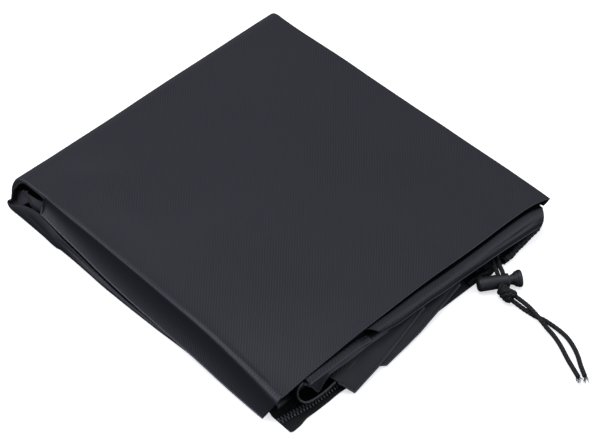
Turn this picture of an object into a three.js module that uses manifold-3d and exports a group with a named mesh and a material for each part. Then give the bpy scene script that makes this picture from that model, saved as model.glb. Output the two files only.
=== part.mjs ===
// A patio umbrella cover of coated polyester, folded to a flat packet about 265 mm by 239 mm.
// Its long sleeve is folded lengthwise, then over itself, and last of all bent round a thick spine.
// Frame: millimetres, +Z up, X from the spine to the open side, Y from the front wall to the back one,
// origin under the middle of the packet.
import * as THREE from "three";
import { mergeVertices } from "three/addons/utils/BufferGeometryUtils.js";
import Module from "manifold-3d";

const wasm = await Module();
wasm.setup();

// Cloth: each layer stands for a few plies that lie together.
const CLOTH = 2;
const FLAP_CLOTH = 1.6;
const LAYER_PITCH = 3.3;
const PACK_TOP = 27.4;
const SPINE_X = -118.7;
const SPINE_DEPTH = 12.9;
const HALF_WIDTH = 115;
const BELLY_Z = 11.8;
const FLOOR_MID = CLOTH / 2;
const TOP_MID = PACK_TOP - CLOTH / 2;
const MIDDLE_Z = (FLOOR_MID + TOP_MID) / 2;

// Drawcord, its lock and the gap kept between pieces that touch.
const CORD_D = 3;
const BARREL_D = 9.3;
const BARREL_MOUTH_D = 8.7;
const BARREL_LENGTH = 20.4;
const BORE_D = 7.2;
const STEM_D = 6.6;
const HEAD_D = 11.2;
const PLUNGER_TRAVEL = 2.5;
const TOUCH_GAP = 0.3;

const outerCloth = { color: 0x2b2d33, roughness: 0.5, metalness: 0 };
const innerCloth = { color: 0x26282d, roughness: 0.55, metalness: 0 };
const tapeCloth = { color: 0x1e1f22, roughness: 0.8, metalness: 0 };
const coilNylon = { color: 0x37383c, roughness: 0.4, metalness: 0 };
const lockPlastic = { color: 0x1d1e21, roughness: 0.35, metalness: 0 };
const cordBraid = { color: 0x1f1f21, roughness: 0.85, metalness: 0 };

const { lerp, clamp, smoothstep } = THREE.MathUtils;
const point = (x, y, z) => new THREE.Vector3(x, y, z);

// One column of a table at a place between its rows.
function read(table, key, place, column) {
  let i = 0;
  while (i < table.length - 2 && place > table[i + 1][key]) i += 1;
  const [a, b] = [table[i], table[i + 1]];
  const share = clamp((place - a[key]) / (b[key] - a[key]), 0, 1);
  return lerp(a[column], b[column], share);
}

// Evenly spaced numbers from one value to another, both included.
function steps(from, to, count) {
  return Array.from({ length: count + 1 }, (_, i) => lerp(from, to, i / count));
}

// A sheet of cloth: its two faces lie half a thickness either side of the grid of mid-points.
// The rows and columns run so that the first face is the one that the grid turns to the outside.
function sheet(grid, thickness) {
  const rows = grid.length;
  const columns = grid[0].length;
  const corners = [[], []];
  for (let i = 0; i < rows; i += 1) {
    for (let j = 0; j < columns; j += 1) {
      const next = grid[Math.min(i + 1, rows - 1)][j];
      const along = next.clone().sub(grid[Math.max(i - 1, 0)][j]);
      const beside = grid[i][Math.min(j + 1, columns - 1)];
      const across = beside.clone().sub(grid[i][Math.max(j - 1, 0)]);
      const half = along.cross(across).setLength(thickness / 2);
      corners[0].push(grid[i][j].clone().add(half));
      corners[1].push(grid[i][j].clone().sub(half));
    }
  }
  const face = (i, j) => i * columns + j;
  const under = (i, j) => rows * columns + i * columns + j;
  const quads = [];
  for (let i = 0; i < rows - 1; i += 1) {
    for (let j = 0; j < columns - 1; j += 1) {
      quads.push([face(i, j), face(i + 1, j), face(i + 1, j + 1), face(i, j + 1)]);
      quads.push([under(i, j), under(i, j + 1), under(i + 1, j + 1), under(i + 1, j)]);
    }
    const e = columns - 1;
    quads.push([face(i, 0), under(i, 0), under(i + 1, 0), face(i + 1, 0)]);
    quads.push([face(i, e), face(i + 1, e), under(i + 1, e), under(i, e)]);
  }
  for (let j = 0; j < columns - 1; j += 1) {
    const e = rows - 1;
    quads.push([face(0, j), face(0, j + 1), under(0, j + 1), under(0, j)]);
    quads.push([face(e, j), under(e, j), under(e, j + 1), face(e, j + 1)]);
  }
  const geometry = new THREE.BufferGeometry();
  const places = corners.flat().flatMap((p) => p.toArray());
  geometry.setAttribute("position", new THREE.Float32BufferAttribute(places, 3));
  geometry.setIndex(quads.flatMap(([a, b, c, d]) => [a, b, c, a, c, d]));
  return geometry;
}

// A closed geometry as a solid that can be joined and cut, and back again.
function solid(geometry) {
  const bare = geometry.clone();
  bare.deleteAttribute("normal");
  bare.deleteAttribute("uv");
  const merged = mergeVertices(bare, 1e-4);
  const vertProperties = merged.attributes.position.array;
  const triVerts = new Uint32Array(merged.index.array);
  return new wasm.Manifold(new wasm.Mesh({ numProp: 3, vertProperties, triVerts }));
}

function geometryOf(made) {
  const mesh = made.getMesh();
  const geometry = new THREE.BufferGeometry();
  geometry.setAttribute("position", new THREE.BufferAttribute(mesh.vertProperties, 3));
  geometry.setIndex(new THREE.BufferAttribute(mesh.triVerts, 1));
  return geometry;
}

// Sheets sewn into one solid. Pockets closed in between them are filled.
function join(geometries) {
  const joined = geometries.map(solid).reduce((all, next) => all.add(next));
  return joined.decompose().reduce((a, b) => (b.volume() > a.volume() ? b : a));
}

const cover = new THREE.Group();
function add(name, geometry, finish) {
  const mesh = new THREE.Mesh(geometry, new THREE.MeshStandardMaterial(finish));
  mesh.name = name;
  cover.add(mesh);
  return mesh;
}

// Front panel: top sheet, spine and floor sheet in one piece, with its sides turned over the layers.
// A station runs from the top sheet's open edge (0) to the spine's top (1), round the spine to its
// foot (2), and along the floor to the open edge (3). crease is where a side is turned and edge where
// the turned part ends, both along Y. reach is how far that part stands across the layers, and dip is
// how deep it is tucked in at the spine's ends.
const FRONT_SIDE = [
  { station: 0, crease: -113.2, edge: -117.2, reach: 20.5, dip: 0 },
  { station: 0.12, crease: -111.2, edge: -117.2, reach: 21.5, dip: 0 },
  { station: 0.35, crease: -109.3, edge: -116.6, reach: 20.5, dip: 0 },
  { station: 0.47, crease: -109.3, edge: -116.4, reach: 19.6, dip: 0 },
  { station: 0.6, crease: -109.6, edge: -116.2, reach: 15.4, dip: 0 },
  { station: 0.82, crease: -110.2, edge: -116.0, reach: 12.8, dip: 0 },
  { station: 0.9, crease: -110.4, edge: -115.8, reach: 11.2, dip: 0 },
  { station: 0.94, crease: -109.6, edge: -115.2, reach: 9, dip: 3 },
  { station: 0.98, crease: -110.6, edge: -114.6, reach: 6, dip: 2 },
  { station: 1.1, crease: -111.0, edge: -114.0, reach: 1.2, dip: 0 },
  { station: 1.5, crease: -113.0, edge: -116.6, reach: 0.6, dip: 0 },
  { station: 1.8, crease: -116.6, edge: -119.0, reach: 1, dip: 0 },
  { station: 1.93, crease: -118.6, edge: -119.4, reach: 2, dip: 0 },
  { station: 2.03, crease: -119.6, edge: -115.6, reach: 6, dip: 0 },
  { station: 2.12, crease: -119.7, edge: -113.8, reach: 12, dip: 0 },
  { station: 2.27, crease: -118.9, edge: -113.4, reach: 12, dip: 0 },
  { station: 2.53, crease: -117.7, edge: -112.9, reach: 9, dip: 0 },
  { station: 2.75, crease: -115.5, edge: -112.4, reach: 7.5, dip: 0 },
  { station: 3, crease: -116.6, edge: -112.8, reach: 5, dip: 0 },
];
const BACK_SIDE = [
  { station: 0, crease: 119.0, edge: 115.6, reach: 4.5, dip: 0 },
  { station: 0.04, crease: 119.3, edge: 118.0, reach: 12, dip: 0 },
  { station: 0.2, crease: 118.9, edge: 118.9, reach: 16, dip: 0 },
  { station: 0.55, crease: 117.6, edge: 118.4, reach: 17.5, dip: 0 },
  { station: 0.86, crease: 116.4, edge: 117.8, reach: 15, dip: 0 },
  { station: 0.95, crease: 115.9, edge: 117.2, reach: 9, dip: 2.5 },
  { station: 1.05, crease: 116.0, edge: 117.2, reach: 2.4, dip: 0 },
  { station: 1.5, crease: 116.2, edge: 117.6, reach: 0.6, dip: 0 },
  { station: 1.9, crease: 116.8, edge: 118.4, reach: 2, dip: 0 },
  { station: 2.08, crease: 119.2, edge: 113.8, reach: 9, dip: 0 },
  { station: 2.3, crease: 119.2, edge: 113.6, reach: 8, dip: 0 },
  { station: 2.7, crease: 118.0, edge: 113.2, reach: 6, dip: 0 },
  { station: 3, crease: 116.2, edge: 113.0, reach: 4, dip: 0 },
];
// The open side from above: where the top sheet and the floor sheet end along Y, as X.
const OPEN_EDGES = [
  { y: -114, top: 117.6, floor: 104.6 },
  { y: -94, top: 116.9, floor: 104.6 },
  { y: -61, top: 116.9, floor: 104.6 },
  { y: -54, top: 117.2, floor: 112 },
  { y: -12, top: 118.4, floor: 121 },
  { y: 16, top: 119.0, floor: 124.8 },
  { y: 46, top: 119.6, floor: 125.6 },
  { y: 64, top: 120.2, floor: 126.4 },
  { y: 118, top: 124.2, floor: 123.4 },
];
const SIDE_RAKE = 0.4;
const FRONT_SOFTNESS = 2.6;
const BACK_SOFTNESS = 1.8;
const TOP_CREASE_DROP = 0.6;
const FLOOR_CREASE_DROP = 0.15;
const CORNER_DROOP = { depth: 3, fromX: 50, toX: 120, fromY: -40, toY: -115 };
// A side leaves its crease slowly, and its tuck is deepest a little below the crease.
const SIDE_EASE = 1.4;
const TUCK_EASE = 0.5;
// The spine is a half round at the front, fuller at the back, and pressed square on the floor.
const SPINE_BACK_FULLNESS = 0.66;
const SPINE_FOOT_FULLNESS = 0.66;
const SPINE_FOOT_SPREAD = 1.4;
const SPINE_FOOT_STATION = 1.8;
const PANEL_STATIONS = [
  0, 0.03, 0.12, 0.28, 0.47, 0.62, 0.78, 0.9, 0.94, 0.98, 1.06, 1.18, 1.32, 1.46, 1.6, 1.72, 1.82,
  1.91, 1.97, 2.03, 2.1, 2.3, 2.55, 2.8, 3,
];
const SIDE_SHARES = [1, 0.68, 0.36, 0.12, 0];
const FLAT_SHARES = [0, 0.1, 0.22, 0.26, 0.42, 0.58, 0.74, 0.88, 1];

// How far the top sags towards the corner where the front wall meets the open side.
function droop(x, y) {
  const { depth, fromX, toX, fromY, toY } = CORNER_DROOP;
  return depth * smoothstep(x, fromX, toX) * smoothstep(-y, -fromY, -toY);
}

// The packet's outline across X and Z at a station, with the direction to its inside.
function outline(station, y) {
  if (station <= 1) {
    const x = lerp(read(OPEN_EDGES, "y", y, "top"), SPINE_X, station);
    return { x, z: TOP_MID - droop(x, y), inX: 0, inZ: -1 };
  }
  if (station >= 2) {
    const x = lerp(SPINE_X, read(OPEN_EDGES, "y", y, "floor"), station - 2);
    return { x, z: FLOOR_MID, inX: 0, inZ: 1 };
  }
  const turn = (station - 1) * Math.PI;
  const out = Math.sin(turn);
  const up = Math.cos(turn);
  if (up >= 0) {
    const rise = TOP_MID - BELLY_Z;
    const fullness = lerp(1, SPINE_BACK_FULLNESS, smoothstep(y, -HALF_WIDTH, HALF_WIDTH));
    const inward = point(out / SPINE_DEPTH, 0, -up / rise).normalize();
    return {
      x: SPINE_X - SPINE_DEPTH * out ** fullness,
      z: BELLY_Z + rise * up ** fullness,
      inX: inward.x,
      inZ: inward.z,
    };
  }
  const towardsFront = smoothstep(-y, HALF_WIDTH / 3, HALF_WIDTH);
  const spread = SPINE_FOOT_SPREAD * towardsFront * smoothstep(-up, 0, 0.5);
  const x = SPINE_X - (SPINE_DEPTH + spread) * out ** SPINE_FOOT_FULLNESS;
  const z = BELLY_Z - (BELLY_Z - FLOOR_MID) * (-up) ** SPINE_FOOT_FULLNESS;
  return { x, z, inX: out, inZ: -up };
}

// A point of a turned side: share 0 is on its crease and 1 on its free edge.
function sidePoint(station, table, share) {
  const at = (column) => read(table, "station", station, column);
  const tuck = at("dip") * Math.sin(Math.PI * share ** TUCK_EASE);
  const y = lerp(at("crease"), at("edge"), share ** SIDE_EASE) - Math.sign(at("crease")) * tuck;
  const o = outline(station, at("crease"));
  const drop = station < SPINE_FOOT_STATION ? TOP_CREASE_DROP : FLOOR_CREASE_DROP;
  const depth = lerp(drop, at("reach"), share);
  const rake = station <= 1 ? SIDE_RAKE * depth * (1 - station) : 0;
  return point(o.x + o.inX * depth - rake, y, o.z + o.inZ * depth);
}

function frontPanelRow(station) {
  const front = read(FRONT_SIDE, "station", station, "crease") + FRONT_SOFTNESS;
  const back = read(BACK_SIDE, "station", station, "crease") - BACK_SOFTNESS;
  const flat = FLAT_SHARES.map((share) => {
    const y = lerp(front, back, share);
    const o = outline(station, y);
    return point(o.x, y, o.z);
  });
  const frontSide = SIDE_SHARES.map((share) => sidePoint(station, FRONT_SIDE, share));
  const backSide = SIDE_SHARES.map((share) => sidePoint(station, BACK_SIDE, share)).reverse();
  return [...frontSide, ...flat, ...backSide];
}

// The floor sheet's hem, turned up into a gathered channel for the drawcord, open where it comes out.
const HEM = [
  { y: 46, reach: 125.8, radius: 1.4 },
  { y: 50, reach: 125.9, radius: 1.7 },
  { y: 56, reach: 128.0, radius: 2.2 },
  { y: 66, reach: 129.4, radius: 2.1 },
  { y: 80, reach: 129.0, radius: 2.0 },
  { y: 90, reach: 127.8, radius: 1.6 },
  { y: 102, reach: 127.2, radius: 1.2 },
  { y: 113, reach: 126.4, radius: 0.9 },
];
const HEM_STRETCHES = [
  { from: 46, to: 63.6, count: 8 },
  { from: 75.2, to: 113, count: 16 },
];
const HEM_ROOT_X = 117;
const HEM_Z = 0.9;
const GATHER = 0.35;
const GATHER_SWELL = 0.12;
const HEM_TURN = [-90, -45, 0, 45, 90, 140];

function hemRow(y, gather) {
  const reach = read(HEM, "y", y, "reach");
  const radius = read(HEM, "y", y, "radius") * (1 + GATHER_SWELL * gather);
  const centreX = reach - radius - FLAP_CLOTH / 2 + GATHER * gather;
  const loop = HEM_TURN.map((degrees) => {
    const turn = THREE.MathUtils.degToRad(degrees);
    return point(centreX + radius * Math.cos(turn), y, HEM_Z + radius * (1 + Math.sin(turn)));
  });
  return [point(HEM_ROOT_X, y, HEM_Z), ...loop];
}
const hems = HEM_STRETCHES.map(({ from, to, count }) =>
  sheet(
    steps(from, to, count).map((y, i) => hemRow(y, i % 2 === 0 ? 1 : -1)),
    FLAP_CLOTH,
  ),
);

const frontPanel = join([sheet(PANEL_STATIONS.map(frontPanelRow), CLOTH), ...hems]);
add("front_panel", geometryOf(frontPanel), outerCloth);

// Back panel: the layers inside, one strip that runs back and forth. Each lap is a U bent round the
// spine, one pitch further in than the last, and the laps join in folds at the open side.
const LAPS = [1, 2, 3];
const LAP_ENDS = [
  { station: 0, front: -106, back: 110 },
  { station: 0.8, front: -106.5, back: 109.5 },
  { station: 0.93, front: -103.5, back: 107 },
  { station: 1.2, front: -108.5, back: 110 },
  { station: 1.8, front: -111, back: 111.5 },
  { station: 3, front: -108, back: 109 },
];
const LAP_STATIONS = [0, 0.3, 0.6, 0.85, 1, 1.18, 1.34, 1.5, 1.66, 1.82, 2, 2.15, 2.45, 2.75, 3];
const LAP_SHARES = [0, 0.16, 0.4, 0.6, 0.84, 1];
const FOLD_TURNS = [30, 90, 150];
// Where a lap ends at the open side: each one stops short of the last, and its end waves a little.
const LAP_OPEN_X = 112;
const LAP_SHORTER = 1.5;
const LAP_WAVE_LENGTH = 24;
const LAP_STAGGER = { perLap: 2.1, perStation: 1.3 };

function lapPoint(lap, station, share) {
  const inset = lap * LAYER_PITCH;
  const stagger = Math.sin(LAP_STAGGER.perLap * lap + LAP_STAGGER.perStation * station);
  const front = read(LAP_ENDS, "station", station, "front") + stagger;
  const back = read(LAP_ENDS, "station", station, "back") + stagger;
  const y = lerp(front, back, share);
  const openX = LAP_OPEN_X - LAP_SHORTER * lap + Math.sin(y / LAP_WAVE_LENGTH + lap);
  if (station <= 1) {
    const x = lerp(openX, SPINE_X, station);
    return point(x, y, TOP_MID - inset - droop(x, y));
  }
  if (station >= 2) return point(lerp(SPINE_X, openX, station - 2), y, FLOOR_MID + inset);
  const turn = (station - 1) * Math.PI;
  const x = SPINE_X - (SPINE_DEPTH - inset) * Math.sin(turn);
  return point(x, y, MIDDLE_Z + (TOP_MID - MIDDLE_Z - inset) * Math.cos(turn));
}

// The fold that joins one lap's end to the next lap's start.
function foldRows(lap, station) {
  return FOLD_TURNS.map((degrees) => {
    const turn = THREE.MathUtils.degToRad(degrees);
    return LAP_SHARES.map((share) => {
      const from = lapPoint(lap, station, share);
      const to = lapPoint(lap + 1, station, share);
      const onFold = from.clone().lerp(to, (1 - Math.cos(turn)) / 2);
      return onFold.setX(onFold.x + (LAYER_PITCH / 2) * Math.sin(turn));
    });
  });
}

const strip = LAPS.flatMap((lap, i) => {
  const forward = i % 2 === 0;
  const stations = forward ? LAP_STATIONS : [...LAP_STATIONS].reverse();
  const rows = stations.map((s) => LAP_SHARES.map((share) => lapPoint(lap, s, share)));
  const last = i === LAPS.length - 1;
  return last ? rows : [...rows, ...foldRows(lap, forward ? 3 : 0)];
});

// The roll under the top sheet: it comes out below the open edge, turns down and ends in a hem.
const ROLL = [
  { y: -42, lip: 1.6, lowX: 121.0, lowZ: 12.7 },
  { y: 1, lip: 2.0, lowX: 121.4, lowZ: 12.4 },
  { y: 38, lip: 2.3, lowX: 122.4, lowZ: 9.7 },
  { y: 76, lip: 2.6, lowX: 123.2, lowZ: 7.6 },
  { y: 96, lip: 2.6, lowX: 123.6, lowZ: 6 },
  { y: 114, lip: 2.2, lowX: 123.2, lowZ: 5.4 },
];
const ROLL_LINE = [
  { share: 0, out: -26, z: 22.8 },
  { share: 0.3, out: -5, z: 22.8 },
  { share: 0.45, out: -1.2, z: 22.7 },
  { share: 0.58, out: 0.6, z: 21.4 },
  { share: 0.7, out: 1, z: 18.2 },
];
const ROLL_FRONT = -42;
const ROLL_BACK = 112.2;
const ROLL_END_SKEW = 12;
const ROLL_BULGE = { share: 0.55, out: 0.5 };

function rollPoint(line, along) {
  const skew = ROLL_END_SKEW * line.share ** 2;
  const y = lerp(ROLL_FRONT + skew, ROLL_BACK, along);
  const at = (column) => read(ROLL, "y", y, column);
  const edge = read(OPEN_EDGES, "y", y, "top");
  const lip = line.out > 0 ? line.out * at("lip") : line.out;
  return point(edge + lip, y, line.z);
}
function rollRow(along) {
  const upper = ROLL_LINE.map((line) => rollPoint(line, along));
  const y = lerp(ROLL_FRONT + ROLL_END_SKEW, ROLL_BACK, along);
  const low = point(read(ROLL, "y", y, "lowX"), y, read(ROLL, "y", y, "lowZ"));
  const middle = upper.at(-1).clone().lerp(low, ROLL_BULGE.share);
  middle.x += ROLL_BULGE.out;
  return [...upper, middle, low];
}
const roll = sheet(steps(0, 1, 8).map(rollRow), FLAP_CLOTH);

// The next layer's end, which shows between the roll's end and the front corner.
const UNDERLAP = [
  { y: -92, rise: 2.2, lowX: 118.0, lowZ: 14.4 },
  { y: -62, rise: 1.4, lowX: 118.4, lowZ: 13.4 },
  { y: -24, rise: -1.2, lowX: 118.4, lowZ: 10.4 },
];
const UNDERLAP_LINE = [
  { x: 92, z: 19.2, gain: 0 },
  { x: 106, z: 19.2, gain: 0.6 },
  { x: 113, z: 19.1, gain: 1 },
  { x: 115.6, z: 18.2, gain: 1 },
  { x: 117.2, z: 16.0, gain: 0.6 },
];
function underlapRow(y) {
  const at = (column) => read(UNDERLAP, "y", y, column);
  const upper = UNDERLAP_LINE.map(({ x, z, gain }) => point(x, y, z + gain * at("rise")));
  return [...upper, point(at("lowX"), y, at("lowZ"))];
}
const UNDERLAP_PLACES = [-92, -76, -60, -42, -24];
const underlap = sheet(UNDERLAP_PLACES.map(underlapRow), FLAP_CLOTH);

// The sleeve's mouth, seen end on at the front corner: its rim runs down round the left and out to
// the right under the flaps, and the cloth goes back from it into the packet. draw is how much of the
// narrowing towards the inside each place takes.
const MOUTH_RIM = [
  { x: 116.2, y: -92.0, z: 20.8, draw: 1 },
  { x: 116.8, y: -95.6, z: 20.2, draw: 1 },
  { x: 117.6, y: -97.6, z: 17.0, draw: 1 },
  { x: 119.2, y: -98.0, z: 13.4, draw: 1 },
  { x: 121.0, y: -96.4, z: 10.7, draw: 1 },
  { x: 122.4, y: -93.4, z: 9.3, draw: 1 },
  { x: 123.0, y: -87.5, z: 8.5, draw: 1 },
  { x: 123.0, y: -79.0, z: 8.0, draw: 0.3 },
  { x: 122.4, y: -68.0, z: 8.8, draw: 0.3 },
  { x: 120.6, y: -52.0, z: 9.2, draw: 0.3 },
];
const MOUTH_DEPTHS = [
  { back: 0, narrow: 0 },
  { back: 8, narrow: 1.2 },
  { back: 24, narrow: 4 },
];
const mouth = sheet(
  MOUTH_DEPTHS.map(({ back, narrow }) =>
    MOUTH_RIM.map(({ x, y, z, draw }) => point(x - back, y + narrow * draw, z)),
  ),
  FLAP_CLOTH,
);

// Two corners of the hem hang out over the layers and spread on the floor. Each has a top line under
// the roll and a lower edge that comes to a point.
const NEAR_FLAP = {
  top: [
    { x: 118.3, y: -74, z: 13.6 },
    { x: 118.6, y: -50, z: 12.2 },
    { x: 118.6, y: -24, z: 11.4 },
    { x: 118.0, y: 8, z: 11.2 },
  ],
  edge: [
    { x: 124.4, y: -70.5, z: 8 },
    { x: 132.5, y: -64.9, z: 1.1 },
    { x: 130.2, y: -43.1, z: 3.4 },
    { x: 121.6, y: 6.6, z: 10 },
  ],
};
const FAR_FLAP = {
  top: [
    { x: 117.2, y: -46, z: 9.2 },
    { x: 117.6, y: -22, z: 8.4 },
    { x: 117.8, y: 8, z: 8.2 },
    { x: 117.4, y: 40, z: 8.0 },
  ],
  edge: [
    { x: 124.0, y: -50, z: 4.6 },
    { x: 131.6, y: -36.6, z: 1.1 },
    { x: 129.0, y: -4.5, z: 2.4 },
    { x: 122.6, y: 38.5, z: 6.2 },
  ],
};
const FLAP_ROOT_X = 100;
const FLAP_DROPS = [0, 0.3, 0.65, 1];
const FLAP_BELLY = 0.9;
const FLAP_KNEE = { share: 0.6, rise: 0.75 };

function flap({ top, edge }, rootZ) {
  const curve = (row) => new THREE.CatmullRomCurve3(row.map(({ x, y, z }) => point(x, y, z)));
  const corner = (row, share) => {
    const place = share * (row.length - 1);
    const i = Math.min(Math.floor(place), row.length - 2);
    const [a, b] = [row[i], row[i + 1]].map(({ x, y, z }) => point(x, y, z));
    return a.lerp(b, place - i);
  };
  const line = curve(top);
  return sheet(
    steps(0, 1, 9).map((share) => {
      const from = line.getPoint(share);
      const to = corner(edge, share);
      const root = point(FLAP_ROOT_X, from.y, rootZ);
      const drops = FLAP_DROPS.map((drop) => {
        const p = from.clone().lerp(to, drop);
        p.z += FLAP_BELLY * Math.sin(Math.PI * drop);
        return p;
      });
      const knee = root.clone().lerp(from, FLAP_KNEE.share);
      knee.z = lerp(rootZ, from.z, FLAP_KNEE.rise);
      return [root, knee, ...drops];
    }),
    FLAP_CLOTH,
  );
}

const backPanel = join([
  sheet(strip, CLOTH),
  roll,
  underlap,
  mouth,
  flap(NEAR_FLAP, 10.9),
  flap(FAR_FLAP, 7.6),
]);
add("back_panel", geometryOf(backPanel), innerCloth);

// Zip: its tape lies flat on the floor at the near corner, where the floor sheet stops short, and the
// closed chain runs along it and in under the layers.
const TAPE_THICKNESS = 1.2;
const TAPE = [
  { y: -111.6, inner: 110.4, outer: 126.6 },
  { y: -109.6, inner: 104.9, outer: 127.2 },
  { y: -104, inner: 104.9, outer: 126.9 },
  { y: -97, inner: 104.9, outer: 125.9 },
  { y: -84.6, inner: 104.9, outer: 126.2 },
  { y: -74, inner: 104.9, outer: 126.2 },
  { y: -64.6, inner: 104.9, outer: 126.8 },
];
const TAPE_CURL = { height: 0.2, length: 6 };
const TAPE_FLAT_SHARE = 0.88;
const TAPE_SHARES = [0, 0.35, 0.7, TAPE_FLAT_SHARE, 1];
const tapeRow = ({ y, inner, outer }) =>
  TAPE_SHARES.map((share) => {
    const curl = TAPE_CURL.height * (1 + Math.sin(y / TAPE_CURL.length));
    const z = TAPE_THICKNESS / 2 + (share > TAPE_FLAT_SHARE ? curl : 0);
    return point(lerp(inner, outer, share), y, z);
  });
add("zip_tape", sheet(TAPE.map(tapeRow), TAPE_THICKNESS), tapeCloth);

const CHAIN_WIDTH = 4.2;
const CHAIN_THICKNESS = 1.6;
const CHAIN_LINE = [
  { x: 117.1, y: -111.4 },
  { x: 118.1, y: -104.1 },
  { x: 119.4, y: -97.1 },
  { x: 120.7, y: -89.2 },
  { x: 121.2, y: -78 },
  { x: 121.2, y: -65.4 },
];
const CHAIN_ACROSS = [
  { share: -0.5, crown: 0 },
  { share: -0.3, crown: 0.3 },
  { share: 0.3, crown: 0.3 },
  { share: 0.5, crown: 0 },
];
const chainZ = TAPE_THICKNESS + TOUCH_GAP + CHAIN_THICKNESS / 2;
const chainRow = ({ x, y }) =>
  CHAIN_ACROSS.map(({ share, crown }) => point(x + share * CHAIN_WIDTH, y, chainZ + crown));
add("zip_coil", sheet(CHAIN_LINE.map(chainRow), CHAIN_THICKNESS), coilNylon);

// Cord lock: a barrel with a sprung plunger. Both are turned about the lock's axis, their own Y, with
// its closed end at the start, and the cord's hole goes through them along their own Z.
const LOCK_END = point(129.6, 47.2, 4.8);
const LOCK_AXIS = point(0.56, 0.828, 0.034).normalize();
const LOCK_SIDE = LOCK_AXIS.clone().cross(point(0.679, -0.459, -0.574)).normalize();
const HOLE_DIRECTION = LOCK_SIDE.clone().cross(LOCK_AXIS);
const LOCK_SIDES = 20;
const LOCK_DOME = 1.8;
const BORE_FLOOR = 3;
const HOLE_AT = 15.8;
const HOLE_LENGTH = 7.4;
const HOLE_WIDTH = 4;
const STEM_FOOT = 6.2;
const FLARE_LENGTH = 1.9;
const HEAD_TO = 28.7;
const HEAD_ROUND = 1.2;

const lockFrame = new THREE.Matrix4()
  .makeBasis(LOCK_SIDE, LOCK_AXIS, HOLE_DIRECTION)
  .setPosition(LOCK_END);

// A slot with round ends through the lock, from one place along its axis to another.
function slot(from, to) {
  const half = HOLE_WIDTH / 2;
  const shape = new THREE.Shape();
  shape.absarc(0, from + half, half, Math.PI, 2 * Math.PI);
  shape.absarc(0, to - half, half, 0, Math.PI);
  const cutter = new THREE.ExtrudeGeometry(shape, {
    depth: 2 * HEAD_D,
    bevelEnabled: false,
    curveSegments: 5,
  });
  return solid(cutter.translate(0, 0, -HEAD_D));
}

// A turned piece from pairs of radius and place along the axis.
function turned(profile) {
  const points = profile.map(([radius, along]) => new THREE.Vector2(radius, along));
  return solid(new THREE.LatheGeometry(points, LOCK_SIDES));
}

const holeFrom = HOLE_AT - HOLE_LENGTH / 2;
const holeTo = HOLE_AT + HOLE_LENGTH / 2;
const barrelR = BARREL_D / 2;
const mouthR = BARREL_MOUTH_D / 2;
const boreR = BORE_D / 2;
const stemR = STEM_D / 2;
const headR = HEAD_D / 2;
const flareFrom = BARREL_LENGTH + PLUNGER_TRAVEL + TOUCH_GAP;
const headFrom = flareFrom + FLARE_LENGTH;

const barrelBody = turned([
  [0, 0],
  [barrelR - LOCK_DOME, 0],
  [barrelR - LOCK_DOME / 4, LOCK_DOME / 3],
  [barrelR, LOCK_DOME],
  [mouthR, BARREL_LENGTH],
  [boreR, BARREL_LENGTH],
  [boreR, BORE_FLOOR],
  [0, BORE_FLOOR],
]);
const barrel = add(
  "cord_lock_barrel",
  geometryOf(barrelBody.subtract(slot(holeFrom, holeTo))),
  lockPlastic,
);
barrel.applyMatrix4(lockFrame);

const plungerBody = turned([
  [0, STEM_FOOT],
  [stemR, STEM_FOOT],
  [stemR, flareFrom],
  [headR - HEAD_ROUND / 2, headFrom],
  [headR, headFrom + HEAD_ROUND / 2],
  [headR, HEAD_TO - HEAD_ROUND],
  [headR - HEAD_ROUND, HEAD_TO],
  [0, HEAD_TO],
]);
const plunger = add(
  "cord_lock_plunger",
  geometryOf(plungerBody.subtract(slot(holeFrom, holeTo + PLUNGER_TRAVEL))),
  lockPlastic,
);
plunger.applyMatrix4(lockFrame);

// Drawcord: two strands come out of the hem's channel, go side by side through the lock and are tied
// in one knot, and its two frayed tails lie on the floor.
const CORD_SIDES = 8;
const STRAND_SPREAD = 1.68;
const STRAND_STEPS = 10;
const TAIL_STEPS = 15;
const STRAND_ROUTE = [
  point(121.3, 72.7, 3.9),
  point(124.4, 70.3, 4.7),
  point(127.6, 67.4, 6.6),
  point(130.9, 64.8, 8.4),
];
const STRAND_THROUGH = [-5.4, -2, 2, 4.8];
const TAIL_ROUTES = {
  cord_tail_a: [
    point(154.4, 57.4, 5.2),
    point(161.2, 57.6, 4.7),
    point(166.4, 56.8, 4.9),
    point(172.3, 55.2, 5.3),
    point(176.9, 54.2, 4.8),
    point(181.5, 53.8, 3.0),
    point(187.1, 53.3, 1.7),
    point(195.1, 50.4, 1.7),
    point(205.6, 45.2, 1.7),
    point(212.2, 42.3, 1.7),
    point(218.2, 39.7, 1.7),
  ],
  cord_tail_b: [
    point(154.6, 55.0, 2.9),
    point(160.8, 55.7, 1.8),
    point(165.7, 56.1, 1.7),
    point(170.6, 56.7, 1.7),
    point(174.9, 58.1, 1.7),
    point(180.3, 58.6, 1.7),
    point(187.0, 58.7, 1.7),
    point(194.1, 57.9, 1.7),
    point(201.2, 55.4, 1.7),
    point(207.9, 51.7, 1.7),
    point(213.9, 47.3, 1.7),
    point(220.9, 42.8, 1.7),
  ],
};

function cordTube(route, stepsAlong) {
  const round = steps(0, CORD_SIDES - 1, CORD_SIDES - 1).map((i) => {
    const turn = (2 * Math.PI * (i + 0.5)) / CORD_SIDES;
    return new THREE.Vector2(Math.cos(turn), Math.sin(turn)).multiplyScalar(CORD_D / 2);
  });
  return new THREE.ExtrudeGeometry(new THREE.Shape(round), {
    steps: stepsAlong,
    extrudePath: new THREE.CatmullRomCurve3(route),
  });
}

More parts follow.
